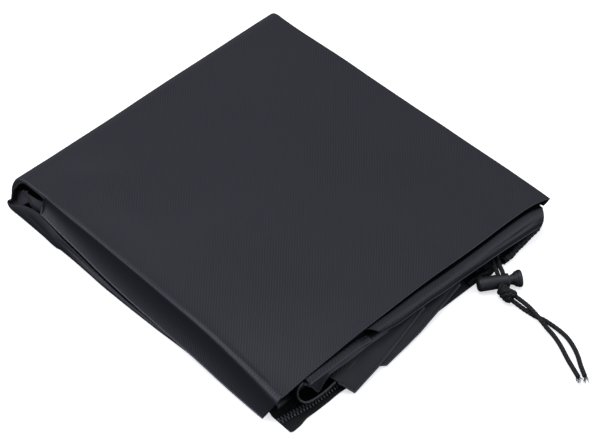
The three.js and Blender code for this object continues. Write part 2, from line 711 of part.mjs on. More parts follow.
const holeCentre = LOCK_END.clone().addScaledVector(LOCK_AXIS, HOLE_AT);
for (const [name, side] of [["cord_strand_a", 1], ["cord_strand_b", -1]]) {
  const through = STRAND_THROUGH.map((along) =>
    holeCentre.clone().addScaledVector(HOLE_DIRECTION, along),
  );
  const route = [...STRAND_ROUTE, ...through].map((p) =>
    p.clone().addScaledVector(LOCK_AXIS, side * STRAND_SPREAD),
  );
  add(name, cordTube(route, STRAND_STEPS), cordBraid);
}
for (const [name, route] of Object.entries(TAIL_ROUTES)) {
  add(name, cordTube(route, TAIL_STEPS), cordBraid);
}

// The knot: slanting turns of the doubled cord drawn tight round each other.
const KNOT_CENTRE = point(149.06, 54.8, 4.95);
const KNOT_CORE = { length: 11.4, radius: 3.1 };
const KNOT_WRAPS = [
  { along: -3.6, radius: 3.1, lean: 24 },
  { along: 0, radius: 3.2, lean: 34 },
  { along: 3.7, radius: 2.9, lean: 24 },
];
const KNOT_TURN = -6;
const WRAP_SIDES = 6;
const WRAP_STEPS = 14;
const CORE_SIDES = 12;
const CORE_RINGS = 8;

const knotParts = KNOT_WRAPS.map(({ along, radius, lean }) =>
  new THREE.TorusGeometry(radius, CORD_D / 2, WRAP_SIDES, WRAP_STEPS)
    .rotateY(Math.PI / 2)
    .rotateZ(THREE.MathUtils.degToRad(lean))
    .translate(along, 0, 0),
);
const core = new THREE.SphereGeometry(1, CORE_SIDES, CORE_RINGS)
  .scale(KNOT_CORE.length / 2, KNOT_CORE.radius, KNOT_CORE.radius);
const knot = add("cord_knot", geometryOf(join([core, ...knotParts])), cordBraid);
knot.rotation.z = THREE.MathUtils.degToRad(KNOT_TURN);
knot.position.copy(KNOT_CENTRE);

export default cover;
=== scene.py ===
# A patio umbrella cover of coated polyester, folded to a flat packet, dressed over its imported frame.
# Tables are in millimetres in the frame's own axes: +Z up from the surface that the packet lies on,
# +X from the folded spine to the open side, +Y from the front wall to the back one.
import math

import bpy
import numpy as np
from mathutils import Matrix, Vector, noise


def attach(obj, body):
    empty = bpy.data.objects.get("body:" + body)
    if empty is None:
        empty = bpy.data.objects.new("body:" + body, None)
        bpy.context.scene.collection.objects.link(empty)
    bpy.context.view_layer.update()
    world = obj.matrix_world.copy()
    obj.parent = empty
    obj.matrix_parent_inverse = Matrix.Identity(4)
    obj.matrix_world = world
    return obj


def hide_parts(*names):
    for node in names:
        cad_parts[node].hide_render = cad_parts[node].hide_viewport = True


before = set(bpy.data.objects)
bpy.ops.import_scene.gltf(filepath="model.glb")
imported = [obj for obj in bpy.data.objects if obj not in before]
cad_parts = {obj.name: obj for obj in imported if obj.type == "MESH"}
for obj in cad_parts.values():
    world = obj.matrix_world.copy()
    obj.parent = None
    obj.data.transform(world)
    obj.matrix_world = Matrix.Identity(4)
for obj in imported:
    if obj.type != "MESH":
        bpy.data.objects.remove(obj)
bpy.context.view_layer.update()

MM = 0.001

# Camera
# The photograph looks down on the corner between the front wall and the open side, from just over
# a metre away, through a short telephoto lens.
CAMERA_AIM = (12.678, 6.218, 0)
CAMERA_AZIMUTH = math.radians(45.924)
CAMERA_ELEVATION = math.radians(48.3)
CAMERA_DISTANCE = 1100
CAMERA_LENS = 101.54

back = Vector((
    math.sin(CAMERA_AZIMUTH) * math.cos(CAMERA_ELEVATION),
    -math.cos(CAMERA_AZIMUTH) * math.cos(CAMERA_ELEVATION),
    math.sin(CAMERA_ELEVATION),
))
camera = bpy.data.objects.new("camera", bpy.data.cameras.new("camera"))
camera.data.lens = CAMERA_LENS
camera.location = (Vector(CAMERA_AIM) + back * CAMERA_DISTANCE) * MM
camera.rotation_euler = (-back).to_track_quat("-Z", "Y").to_euler()
bpy.context.collection.objects.link(camera)
bpy.context.scene.camera = camera

# Drawcord
# One braided polyester cord, 3 mm thick. Two strands come out of the hem's channel and go side by
# side through the lock. Past it they are tied in one knot, and two cut tails lie on the surface.
CORD_D = 3
CORD_STEP = 0.3
# The braid: how many yarns cross in each direction, how far one goes in a full turn, how deep the
# gaps between the crowns are, how many points a ring has, where its first point is turned from, and
# how far a cord's end bulges past its last ring.
CARRIERS = 3
BRAID_LAY = 7.5
BRAID_DEPTH = 0.3
RING_SIDES = 24
BRAID_FROM = (0.3, 0.2, 1)
TIP_RISE = 0.3
# The yarn's fibres are far finer than a pixel, so their grain is drawn this coarse to show.
YARN_FIBRES = 0.714
# Where the lock lies: its closed end, its axis, how its hole leans, and how far along it the hole is.
LOCK_END = np.array((129.6, 47.2, 4.8))
LOCK_AXIS = (0.56, 0.828, 0.034)
HOLE_TILT = (0.679, -0.459, -0.574)
HOLE_AT = 15.8
# The strands' middle on its way to the lock, its places in the lock's hole, and how far each strand
# lies to its own side.
STRAND_SPREAD = 1.68
STRAND_ROUTE = [
    (119.2, 78.3, 3.3),
    (121.3, 72.7, 3.9),
    (124.4, 70.3, 4.7),
    (127.6, 67.4, 6.6),
    (130.9, 64.8, 8.4),
]
STRAND_THROUGH = [-5.4, -2, 2, 4.8]
TAIL_ROUTES = {
    "cord_tail_a": [
        (150.6, 57.0, 5.6),
        (154.4, 57.4, 5.2),
        (161.2, 57.6, 4.7),
        (166.4, 56.8, 4.9),
        (172.3, 55.2, 5.3),
        (176.9, 54.2, 4.8),
        (181.5, 53.8, 3.0),
        (187.1, 53.3, 1.7),
        (195.1, 50.4, 1.7),
        (205.6, 45.2, 1.7),
        (212.2, 42.3, 1.7),
        (218.2, 39.7, 1.7),
    ],
    "cord_tail_b": [
        (150.8, 54.2, 4.0),
        (154.6, 55.0, 2.9),
        (160.8, 55.7, 1.8),
        (165.7, 56.1, 1.7),
        (170.6, 56.7, 1.7),
        (174.9, 58.1, 1.7),
        (180.3, 58.6, 1.7),
        (187.0, 58.7, 1.7),
        (194.1, 57.9, 1.7),
        (201.2, 55.4, 1.7),
        (207.9, 51.7, 1.7),
        (213.9, 47.3, 1.7),
        (220.9, 42.8, 1.7),
    ],
}


def linear(colour):
    """An sRGB hex colour as the linear numbers that a shader takes."""
    shares = [int(colour[i:i + 2], 16) / 255 for i in (1, 3, 5)]
    return [s / 12.92 if s <= 0.04045 else ((s + 0.055) / 1.055) ** 2.4 for s in shares] + [1]


def add(tree, kind, settings=None, inputs=None):
    """A node with its settings, and its inputs as constants or as links from other nodes."""
    made = tree.nodes.new("ShaderNode" + kind)
    for name, value in (settings or {}).items():
        setattr(made, name, value)
    for name, value in (inputs or {}).items():
        if isinstance(value, bpy.types.NodeSocket):
            tree.links.new(value, made.inputs[name])
        else:
            made.inputs[name].default_value = value
    return made


def bare_material(name):
    """A material with an empty tree and its output node."""
    material = bpy.data.materials.new(name)
    material.use_nodes = True
    material.node_tree.nodes.clear()
    return material, material.node_tree, add(material.node_tree, "OutputMaterial")


def finish(tree, output, shader):
    tree.links.new(shader.outputs[0], output.inputs["Surface"])


def unit(v):
    v = np.array(v, float)
    return v / np.maximum(np.linalg.norm(v, axis=-1, keepdims=True), 1e-9)


def smooth(points, per_span, axis=0):
    """Catmull-Rom through the points along one axis, with so many steps in each span."""
    p = np.moveaxis(np.array(points, float), axis, 0)
    p = np.concatenate([2 * p[:1] - p[1:2], p, 2 * p[-1:] - p[-2:-1]])
    t = (np.arange(per_span) / per_span).reshape((-1,) + (1,) * (p.ndim - 1))
    spans = [
        0.5 * (2 * b + (c - a) * t + (2 * a - 5 * b + 4 * c - d) * t ** 2
               + (3 * b - a - 3 * c + d) * t ** 3)
        for a, b, c, d in zip(p[:-3], p[1:-2], p[2:-1], p[3:])
    ]
    return np.moveaxis(np.concatenate([*spans, p[-2:-1]]), 0, axis)


def arc(grid, axis=0):
    """The length along a line, or along a sheet's rows or columns, from its first point."""
    step = np.linalg.norm(np.diff(grid, axis=axis), axis=-1)
    return np.insert(np.cumsum(step, axis=axis), 0, 0, axis=axis)


def read_line(at, run, line):
    """What a line has at other places along its run."""
    return np.column_stack([np.interp(at, run, line[:, k]) for k in range(3)])


def spaced(points, spacing):
    """A smooth line through the points, with evenly spaced points of its own."""
    dense = smooth(points, 24)
    run = arc(dense)
    return read_line(np.linspace(0, run[-1], max(2, round(run[-1] / spacing))), run, dense)


def turns(sides):
    return 2 * math.pi * np.arange(sides) / sides


def tube(line, tangent, side, radius, sides):
    """Rings of points round a line, and the faces between them."""
    turn = turns(sides)
    other = np.cross(tangent, side)
    ring = np.cos(turn)[:, None] * side[:, None] + np.sin(turn)[:, None] * other[:, None]
    faces = [
        (i * sides + j, i * sides + (j + 1) % sides,
         (i + 1) * sides + (j + 1) % sides, (i + 1) * sides + j)
        for i in range(len(line) - 1) for j in range(sides)
    ]
    return (line[:, None] + radius * ring).reshape(-1, 3), faces


def braid(line, diameter):
    """A braided cord round a line: points, faces, and how high each point lies in the braid."""
    tangent = unit(np.gradient(line, axis=0))
    side = np.zeros_like(line)
    side[0] = unit(np.cross(tangent[0], BRAID_FROM))
    for i in range(1, len(line)):
        side[i] = unit(side[i - 1] - tangent[i] * (side[i - 1] @ tangent[i]))
    turn = CARRIERS * turns(RING_SIDES)
    lay = 2 * math.pi * CARRIERS * arc(line)[:, None] / BRAID_LAY
    crown = (1 + np.maximum(np.cos(turn + lay), np.cos(turn - lay))) / 2
    radius = (diameter / 2 - BRAID_DEPTH * (1 - crown))[..., None]
    points, faces = tube(line, tangent, side, radius, RING_SIDES)
    tips = np.array([line[0] - tangent[0] * TIP_RISE, line[-1] + tangent[-1] * TIP_RISE])
    first, last = len(points), len(points) + 1
    base = (len(line) - 1) * RING_SIDES
    faces += [(first, (j + 1) % RING_SIDES, j) for j in range(RING_SIDES)]
    faces += [(last, base + j, base + (j + 1) % RING_SIDES) for j in range(RING_SIDES)]
    return np.vstack([points, tips]), faces, np.r_[crown.ravel(), 0.5, 0.5]


# Faces that meet at more than this show an edge between them.
SHARP_FROM = math.radians(40)


def piece(name, parts, material):
    """One object from parts, each of points in millimetres, faces, and what its point attribute says
    of each point: one number, or three. The materials read these as cloth coordinates and as levels of
    painted shade and painted highlight."""
    points, faces, values = [], [], []
    for p, f, v in parts:
        start = sum(len(q) for q in points)
        points.append(np.asarray(p))
        faces += [tuple(start + i for i in face) for face in f]
        values.append(np.broadcast_to(v, (len(p), 3)) if np.ndim(v) == 2
                      else np.column_stack([np.broadcast_to(v, len(p)), np.zeros((len(p), 2))]))
    mesh = bpy.data.meshes.new(name)
    mesh.from_pydata(np.vstack(points) * MM, [], faces)
    coordinates_and_painted_light = mesh.attributes.new("coordinates_and_painted_light", "FLOAT_VECTOR", "POINT")
    coordinates_and_painted_light.data.foreach_set("vector", np.vstack(values).astype(np.float32).ravel())
    mesh.polygons.foreach_set("use_smooth", [True] * len(mesh.polygons))
    mesh.set_sharp_from_angle(angle=SHARP_FROM)
    mesh.materials.append(material)
    made = bpy.data.objects.new(name, mesh)
    bpy.context.collection.objects.link(made)
    return made


def braided_polyester():
    """Textured polyester yarn, plaited: dull, with shade painted into the gaps and a pale highlight
    painted on the crowns.
    """
    material, tree, output = bare_material("braided polyester yarn")
    coordinates_and_painted_light = add(tree, "Attribute", {"attribute_name": "coordinates_and_painted_light"})
    crown = add(tree, "SeparateXYZ", inputs={"Vector": coordinates_and_painted_light.outputs["Vector"]})
    place = add(tree, "TexCoord").outputs["Object"]
    fibres = add(tree, "TexNoise", inputs={"Vector": place, "Scale": 1 / (YARN_FIBRES * MM),
                                           "Detail": 3})
    level = add(tree, "Math", {"operation": "MULTIPLY_ADD"},
                {0: fibres.outputs["Fac"], 1: 0.5, 2: crown.outputs["X"]})
    raised = add(tree, "MapRange", inputs={"Value": level.outputs[0], "From Min": 0.75,
                                           "From Max": 1.25})
    # The braid's height, broken by the fibres, paints shade into the gaps and a highlight on the
    # crowns.
    colour = add(tree, "Mix", {"data_type": "RGBA"},
                 {"Factor": raised.outputs[0], 6: linear("#050505"), 7: linear("#27272a")})
    bump = add(tree, "Bump", inputs={"Height": fibres.outputs["Fac"], "Distance": 0.0002,
                                     "Strength": 0.6})
    yarn = add(tree, "BsdfPrincipled", inputs={
        "Base Color": colour.outputs[2], "Roughness": 0.7, "IOR": 1.4,
        "Normal": bump.outputs["Normal"],
    })
    finish(tree, output, yarn)
    return material


cord_yarn = braided_polyester()
lock_axis = unit(LOCK_AXIS)
lock_side = unit(np.cross(lock_axis, HOLE_TILT))
hole_direction = np.cross(lock_side, lock_axis)
hole_centre = LOCK_END + HOLE_AT * lock_axis
through = [hole_centre + place * hole_direction for place in STRAND_THROUGH]

routes = {name: np.array(route) for name, route in TAIL_ROUTES.items()}
for name, side in (("cord_strand_a", 1), ("cord_strand_b", -1)):
    routes[name] = np.vstack([STRAND_ROUTE, through]) + side * STRAND_SPREAD * lock_axis
cord_lines = {name: spaced(route, CORD_STEP) for name, route in routes.items()}
for name, line in cord_lines.items():
    made = piece(name + "_braid", [braid(line, CORD_D)], cord_yarn)
    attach(made, "cover")
    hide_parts(name)

# Cut ends of the cord
# The tails are cut and not sealed, so the braid opens there. Its yarns splay out in short loose
# ends, each bent its own way and thinner towards its tip.
FRAY_YARNS = 15
FRAY_LENGTH = 4.2
FRAY_SHORTEST = 0.35
FRAY_ROOT = 0.3
FRAY_SPREAD = 1.14
FRAY_KINK = 0.5
FRAY_SEED = 3
YARN_D = 0.42
YARN_TIP = 0.5
# The loose yarns' level in the braid's painted shade and highlight.
YARN_SHADE = 0.7
ROD_FROM = (0.21, 0.34, 0.91)


def rod(line, radii, sides=6):
    """A plain round rod along a line, closed at both ends."""
    tangent = unit(np.gradient(line, axis=0))
    side = unit(np.cross(tangent, ROD_FROM))
    radii = np.broadcast_to(radii, len(line))[:, None, None]
    points, faces = tube(line, tangent, side, radii, sides)
    faces.append(tuple(reversed(range(sides))))
    faces.append(tuple((len(line) - 1) * sides + j for j in range(sides)))
    return points, faces, YARN_SHADE


frays = {}
for seed, name in enumerate(TAIL_ROUTES, FRAY_SEED):
    pick = np.random.default_rng(seed)
    line = cord_lines[name]
    ahead = unit(line[-1] - line[-4])
    yarns = []
    for _ in range(FRAY_YARNS):
        lean = pick.normal(size=3) * (1, 1, 0.5)
        start = line[-3] + unit(lean) * CORD_D * FRAY_ROOT
        tip = line[-1] + ahead * FRAY_LENGTH * pick.uniform(FRAY_SHORTEST, 1) + lean * FRAY_SPREAD
        middle = (start + tip) / 2 + pick.normal(size=3) * FRAY_KINK
        bent = smooth([start, middle, tip], 4)
        bent[:, 2] = np.maximum(bent[:, 2], YARN_D)
        yarns.append(rod(bent, np.linspace(YARN_D, YARN_D * YARN_TIP, len(bent)) / 2))
    frays[name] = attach(piece(name + "_fray", yarns, cord_yarn), "cover")

# Knot
# The doubled cord tied in one overhand knot and pulled tight: leaning turns side by side, and the
# last one crossing over them on the lock's far side.
KNOT_CENTRE = np.array((146.6, 55.0, 5.2))
KNOT_TURN = math.radians(-6)
KNOT_STRAND_D = 2.9
KNOT_LOOP = np.radians(np.linspace(0, 350, 60))


def tabled(columns, rows):
    """Rows of values under the names of their columns."""
    return [dict(zip(columns.split(), row)) for row in rows]


KNOT_LOOPS = tabled("along radius lean", [
    (-4.5, 2.7, 26),
    (-2.1, 3.3, 29),
    (0.3, 3.45, 31),
    (2.6, 3.2, 24),
    (4.5, 2.6, 12),
])
KNOT_BRIDGES = [
    [(-1.2, -3.2, 1.2), (0.8, -1.9, 3.9), (3.0, 0.6, 4.5), (4.9, 2.6, 3.0), (5.2, 3.2, 0.4)],
    [(1.0, -3.6, 0.2), (3.0, -2.7, 2.9), (4.9, -0.6, 3.9), (5.9, 1.2, 2.4)],
]


def swung(points, angle):
    """Points turned about the upright axis."""
    c, s = math.cos(angle), math.sin(angle)
    return np.array(points) @ np.array([[c, s, 0], [-s, c, 0], [0, 0, 1]])


knot_lines = []
for loop in KNOT_LOOPS:
    ring = np.column_stack([0 * KNOT_LOOP, loop["radius"] * np.cos(KNOT_LOOP),
                            loop["radius"] * np.sin(KNOT_LOOP)])
    knot_lines.append(swung(ring, math.radians(loop["lean"])) + (loop["along"], 0, 0))
knot_lines += [spaced(bridge, CORD_STEP) for bridge in KNOT_BRIDGES]
knot = piece("cord_knot_turns", [
    braid(swung(line, KNOT_TURN) + KNOT_CENTRE, KNOT_STRAND_D) for line in knot_lines
], cord_yarn)
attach(knot, "cover")
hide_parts("cord_knot")

for name, far_end, lay, end_piece in (
    ("cord_strand_a", "knot", "taut", knot),
    ("cord_strand_b", "knot", "taut", knot),
    ("cord_tail_a", "bare", "loose", frays["cord_tail_a"]),
    ("cord_tail_b", "bare", "loose", frays["cord_tail_b"]),
):
    line = cord_lines[name]

# Cord lock
# A moulded barrel with a sprung plunger in its mouth. Both have a hole across them for the cord, and
# the spring, pushing the plunger out, pinches the cord between the two holes' edges.
LOCK_SIDES = 72
HOLE_WIDTH = 4
HOLE_LENGTH = 7.4
PLUNGER_TRAVEL = 2.5
CUTTER_REACH = 12
# The eroded mould's grain, drawn coarser than the real one so that it shows, and the scuffs' size.
MOULD_GRAIN = 0.455
SCUFF_SIZE = 3.85
# Pairs of radius and place along the axis, from the closed end.
BARREL_PROFILE = [
    (0, 0), (2.4, 0.02), (3.4, 0.25), (4.15, 0.85), (4.55, 1.7), (4.62, 2.3), (4.62, 3.1),
    (4.5, 3.45), (4.56, 3.8), (4.64, 4.3), (4.62, 8), (4.55, 13), (4.42, 18.6), (4.5, 18.95),
    (4.52, 19.6), (4.44, 20.2), (4.28, 20.4), (3.72, 20.4), (3.6, 20.2), (3.6, 3), (0, 3),
]
PLUNGER_PROFILE = [
    (0, 6.2), (3.1, 6.2), (3.3, 6.4), (3.3, 21.6), (3.36, 22.4), (3.75, 23.3), (4.6, 24.3),
    (5.05, 25.0), (5.1, 25.35), (5.0, 25.5), (5.0, 25.8), (5.25, 25.95), (5.5, 26.2),
    (5.6, 26.6), (5.6, 27.6), (5.45, 28.2), (5.1, 28.55), (4.5, 28.7), (3.6, 28.6), (0, 28.45),
]


def turned(profile):
    """A turned solid about +Y from pairs of radius and place along the axis."""
    n = LOCK_SIDES
    inner = profile[1:-1]
    points = [(r * math.cos(a), y, r * math.sin(a)) for r, y in inner for a in turns(n)]
    faces = [
        (i * n + j, (i + 1) * n + j, (i + 1) * n + (j + 1) % n, i * n + (j + 1) % n)
        for i in range(len(inner) - 1) for j in range(n)
    ]
    points += [(0, profile[0][1], 0), (0, profile[-1][1], 0)]
    faces += [(len(points) - 2, j, (j + 1) % n) for j in range(n)]
    last = (len(inner) - 1) * n
    faces += [(len(points) - 1, last + (j + 1) % n, last + j) for j in range(n)]
    return np.array(points), faces, 0.0


def with_hole(made, low, high):
    """Cuts the cord's hole, a slot with round ends, across a piece of the lock."""
    half = HOLE_WIDTH / 2
    round_end = np.radians(np.linspace(0, 180, 17))
    rim = [(half * math.cos(a), high - half + half * math.sin(a)) for a in round_end]
    rim += [(-half * math.cos(a), low + half - half * math.sin(a)) for a in round_end]
    n = len(rim)
    points = np.array([(x, y, z) for z in (-CUTTER_REACH, CUTTER_REACH) for x, y in rim])
    faces = [tuple(reversed(range(n))), tuple(range(n, 2 * n))]
    faces += [(j, (j + 1) % n, n + (j + 1) % n, n + j) for j in range(n)]
    cutter = piece("hole_cutter", [(points, faces, 0.0)], made.data.materials[0])
    cut = made.modifiers.new("hole", "BOOLEAN")
    cut.operation = "DIFFERENCE"
    cut.solver = "EXACT"
    cut.object = cutter
    bpy.context.view_layer.update()
    mesh = bpy.data.meshes.new_from_object(made.evaluated_get(bpy.context.evaluated_depsgraph_get()))
    made.modifiers.clear()
    made.data = mesh
    bpy.data.objects.remove(cutter)


def moulded_nylon():
    """Injection-moulded nylon from a fine eroded mould: satin, slightly uneven, scuffed pale."""
    material, tree, output = bare_material("moulded nylon")
    place = add(tree, "TexCoord").outputs["Object"]
    grain = add(tree, "TexNoise", inputs={"Vector": place, "Scale": 1 / (MOULD_GRAIN * MM),
                                          "Detail": 2})
    scuff = add(tree, "TexNoise", inputs={"Vector": place, "Scale": 1 / (SCUFF_SIZE * MM),
                                          "Detail": 5, "Roughness": 0.7})
    wear_and_painted_highlight = add(tree, "ValToRGB", inputs={"Fac": scuff.outputs["Fac"]})
    wear_and_painted_highlight.color_ramp.elements[0].position = 0.42
    wear_and_painted_highlight.color_ramp.elements[0].color = linear("#17181b")
    wear_and_painted_highlight.color_ramp.elements[1].position = 0.78
    wear_and_painted_highlight.color_ramp.elements[1].color = linear("#2a2b30")
    gloss = add(tree, "MapRange", inputs={"Value": scuff.outputs["Fac"], "To Min": 0.42,
                                          "To Max": 0.62})
    bump = add(tree, "Bump", inputs={"Height": grain.outputs["Fac"], "Distance": 0.00005,
                                     "Strength": 0.35})
    nylon = add(tree, "BsdfPrincipled", inputs={
        "Base Color": wear_and_painted_highlight.outputs["Color"], "Roughness": gloss.outputs[0], "IOR": 1.53,
        "Normal": bump.outputs["Normal"],
    })
    finish(tree, output, nylon)
    return material


lock_nylon = moulded_nylon()
lock_matrix = np.column_stack([lock_side, lock_axis, hole_direction])
for name, node, body, profile, travel in (
    ("lock_barrel", "cord_lock_barrel", "cover", BARREL_PROFILE, 0),
    ("lock_plunger", "cord_lock_plunger", "plunger", PLUNGER_PROFILE, PLUNGER_TRAVEL),
):
    made = piece(name, [turned(profile)], lock_nylon)
    with_hole(made, HOLE_AT - HOLE_LENGTH / 2, HOLE_AT + HOLE_LENGTH / 2 + travel)
    flat = np.empty(len(made.data.vertices) * 3)
    made.data.vertices.foreach_get("co", flat)
    placed = flat.reshape(-1, 3) @ lock_matrix.T + LOCK_END * MM
    made.data.vertices.foreach_set("co", placed.ravel())
    made.data.update()
    made.data.set_sharp_from_angle(angle=SHARP_FROM)
    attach(made, body)
    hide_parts(node)

# Outer cloth
# The outermost ply of the folded sleeve: top sheet, spine and floor sheet in one run, with both long
# sides turned over the layers. Woven polyester, coated inside, folded once along each crease.
CLOTH_CAD = 2
CLOTH = 0.8
PACK_TOP = 27.4
SPINE_X = -118.7
SPINE_DEPTH = 12.9
HALF_WIDTH = 115
BELLY_Z = 11.8
FLOOR_MID = CLOTH_CAD / 2
TOP_MID = PACK_TOP - CLOTH_CAD / 2
# A station says how far along its run the cloth is: 0 at the top sheet's open edge, 1 and 2 where
# the spine's bend starts and ends, and 3 at the floor sheet's open edge. At each, crease and edge are
# where the side turns and where the turned part ends, both along Y, reach is how far that part
# stands across the layers, and dip is how far its middle is drawn in.
FRONT_SIDE = tabled("station crease edge reach dip", [
    (0, -113.2, -117.2, 20.5, 0),
    (0.12, -111.2, -117.2, 22.0, 0),
    (0.35, -109.3, -116.6, 22.6, 0),
    (0.45, -109.3, -116.4, 22.6, 0),
    (0.57, -109.5, -116.4, 21.3, 0),
    (0.67, -109.8, -116.4, 19.3, 0),
    (0.75, -110.0, -116.4, 16.4, 0),
    (0.83, -110.2, -116.4, 14.0, 0),
    (0.905, -110.4, -116.4, 11.4, 0),
    (0.918, -110.4, -116.4, 11.2, 0),
    (0.926, -110.5, -111.6, 1.6, 0),
    (0.96, -111.0, -111.8, 1.3, 0),
    (1.05, -111.8, -112.6, 1.5, 0),
    (1.12, -112.2, -113.4, 2.4, 0),
    (1.3, -113.2, -114.8, 4.0, 0),
    (1.5, -115.0, -117.0, 3.6, 0),
    (1.65, -117.0, -118.8, 2.6, 0),
    (1.78, -119.2, -120.0, 2.2, 0),
    (1.93, -120.4, -119.4, 4, 0),
    (2.02, -120.1, -117.0, 9.5, 0),
    (2.066, -120.1, -116.4, 12.4, 0),
    (2.11, -120.0, -116.4, 11.4, 0),
    (2.16, -120.3, -116.7, 9.2, 0),
    (2.18, -119.3, -116.8, 8.2, 0),
    (2.263, -119.2, -117.0, 5.6, 0),
    (2.352, -119.2, -117.6, 3.2, 0),
    (2.46, -118.7, -117.8, 1.6, 0),
    (2.57, -117.6, -117.0, 1.0, 0),
    (2.75, -115.5, -114.2, 1.6, 0),
    (3, -116.6, -115.2, 1.6, 0),
])
BACK_SIDE = tabled("station crease edge reach dip", [
    (0, 119.0, 115.6, 4.5, 0),
    (0.04, 119.3, 118.0, 12, 0),
    (0.2, 118.9, 118.9, 16, 0),
    (0.55, 117.6, 118.4, 17.5, 0),
    (0.86, 116.4, 117.8, 15, 0),
    (0.95, 115.9, 117.2, 9, 2.5),
    (1.05, 116.0, 117.2, 2.4, 0),
    (1.5, 116.2, 117.6, 0.6, 0),
    (1.9, 116.8, 118.4, 2, 0),
    (2.08, 119.2, 113.8, 9, 0),
    (2.3, 119.2, 113.6, 8, 0),
    (2.7, 118.0, 113.2, 6, 0),
    (3, 116.2, 113.0, 4, 0),
])
# Where the top sheet and the floor sheet end at the open side, along X.
OPEN_EDGES = tabled("y top floor", [
    (-114, 117.4, 104.6),
    (-94, 116.7, 104.6),
    (-61, 116.8, 104.6),
    (-54, 116.6, 112),
    (-22, 116.8, 120),
    (-8, 116.9, 121.6),
    (16, 117.4, 124.8),
    (46, 118.8, 125.6),
    (62, 119.3, 126.6),
    (69, 119.35, 129.0),
    (76, 119.4, 126.2),
    (104, 120.6, 125),
    (110, 121.9, 124.4),
    (118, 124.6, 123.4),
])
# How round the front crease is, how deep the cloth sinks just behind it, and how far on each side of
# it a pale highlight is painted.
FRONT_CREASE = tabled("station round sink rub", [
    (0, 3.4, 0.6, 0.9),
    (0.1, 2.4, 0.6, 0.8),
    (0.3, 1.1, 0.4, 0.7),
    (0.5, 0.8, 0.3, 0.7),
    (0.8, 0.7, 0.2, 0.7),
    (0.93, 1.0, 0.1, 0.1),
    (1.1, 2.4, 0, 0),
    (1.6, 2.2, 0, 0),
    (1.8, 1.0, 0, 0),
    (2, 0.7, 0, 0),
    (3, 0.7, 0, 0),
])
# The wall's free edge is turned once and pressed, as far as the hollow at the spine's end. Then how
# strong the pale highlight is that is painted along that fold, and along the front crease.
WALL_RIM = 1.3
OPEN_WALL = 0.927
RIM_PAINTED_HIGHLIGHT = 0.7
CREASE_PAINTED_HIGHLIGHT = 0.34
# The cloth is sunk most this far behind the front crease, and further back this share of it is left.
SINK_AT = 6
SINK_END = 24
SINK_LEFT = 0.15
# How round the back crease is. A crease's roundness may take this share of its side's reach and this
# much more. The flat cloth starts so many times the roundness from its crease, in so many columns.
BACK_ROUND = 1.5
ROUND_SHARE = 0.3
ROUND_LEAST = 0.2
FLAT_FROM = 1.1
FLAT_COLUMNS = 25
# How the turned sides lean and bulge between crease and edge, and where along them and round their
# crease the points are.
SIDE_RAKE = 0.4
SIDE_EASE = 2.5
TUCK_EASE = 0.75
WALL_SHARES = [1, 0.96, 0.88, 0.76, 0.62, 0.48, 0.35, 0.23, 0.12, 0.04]
CREASE_TURNS = [15, 35, 55, 75]
# The near corner has fewer layers below it and sinks.
DROOP_DEPTH = 3
DROOP_X = (50, 120)
DROOP_Y = (40, 115)
# The spine is fuller at its front end, and its foot spreads there: how far, over what length, and
# how far down the bend, from 0 at its middle to 1 at the floor, that starts and is whole.
SPINE_FULLNESS = 0.66
FOOT_SPREAD = 7
FOOT_SPREAD_LENGTH = 5
FOOT_SPREAD_DOWN = (0.4, 0.9)
# The spine's front corner is tucked in. A strip of the coated side faces out at the bend, and a
# gusset runs from there under the wall's end, with a hollow between it and the top sheet.
SPINE_TUCK = [
    [(-131.0, -112.4, 9.6), (-127.0, -112.0, 12.6), (-122.6, -111.8, 15.6), (-119.4, -111.4, 17.4)],
    [(-129.6, -113.8, 6.8), (-125.8, -113.6, 9.6), (-121.8, -113.0, 12.8), (-118.2, -112.4, 15.6)],
    [(-127.0, -116.0, 3.4), (-123.8, -115.6, 6.4), (-120.4, -114.8, 10.0), (-117.0, -113.6, 13.6)],
    [(-125.4, -117.8, 1.6), (-122.2, -117.0, 4.6), (-119.0, -115.8, 8.2), (-115.8, -114.4, 11.6)],
]
SPINE_GUSSET = [
    [(-123.4, -112.4, 17.0), (-114.8, -111.2, 15.4), (-106.5, -110.4, 16.6), (-96.0, -110.0, 20.0)],
    [(-121.4, -113.0, 15.6), (-113.4, -113.2, 12.8), (-105.2, -113.4, 12.6), (-95.6, -112.4, 14.8)],
    [(-119.6, -113.6, 13.8), (-112.4, -114.4, 10.2), (-104.0, -114.8, 8.4), (-95.0, -114.2, 9.0)],
]
# Low ridges and troughs from a to b, and the sizes, heights and seeds of the cloth's own swells.
OUTER_CREASES = tabled("a b width height", [
    ((-84, -119.0, 7), (-80, -120.4, 1), 1.3, 0.7),
    ((-118, -119.6, 9.5), (-84, -119.0, 5.5), 0.9, -0.6),
    ((-112, -119.4, 5.0), (-82, -119.4, 2.6), 0.9, 0.5),
    ((-80, -118.6, 7.5), (-38, -118.4, 4.0), 0.8, -0.6),
    ((-72, -119.4, 3.6), (-30, -118.6, 2.0), 0.9, 0.45),
    ((-96, -92, 27), (-30, -98, 27), 9, -0.35),
    ((-112, -96, 27), (-88, -70, 27), 10, -0.5),
    ((60, -96, 27), (104, -100, 25), 8, 0.5),
    ((84, -40, 27), (118, -58, 25), 14, -0.3),
    ((92, 30, 27), (119, 22, 27), 10, 0.4),
    ((-60, 40, 27), (30, 96, 27), 26, -0.35),
    ((-20, -40, 27), (60, 20, 27), 30, 0.3),
])
OUTER_SWELLS = [(38, 0.35, 0), (11, 0.05, 2)]


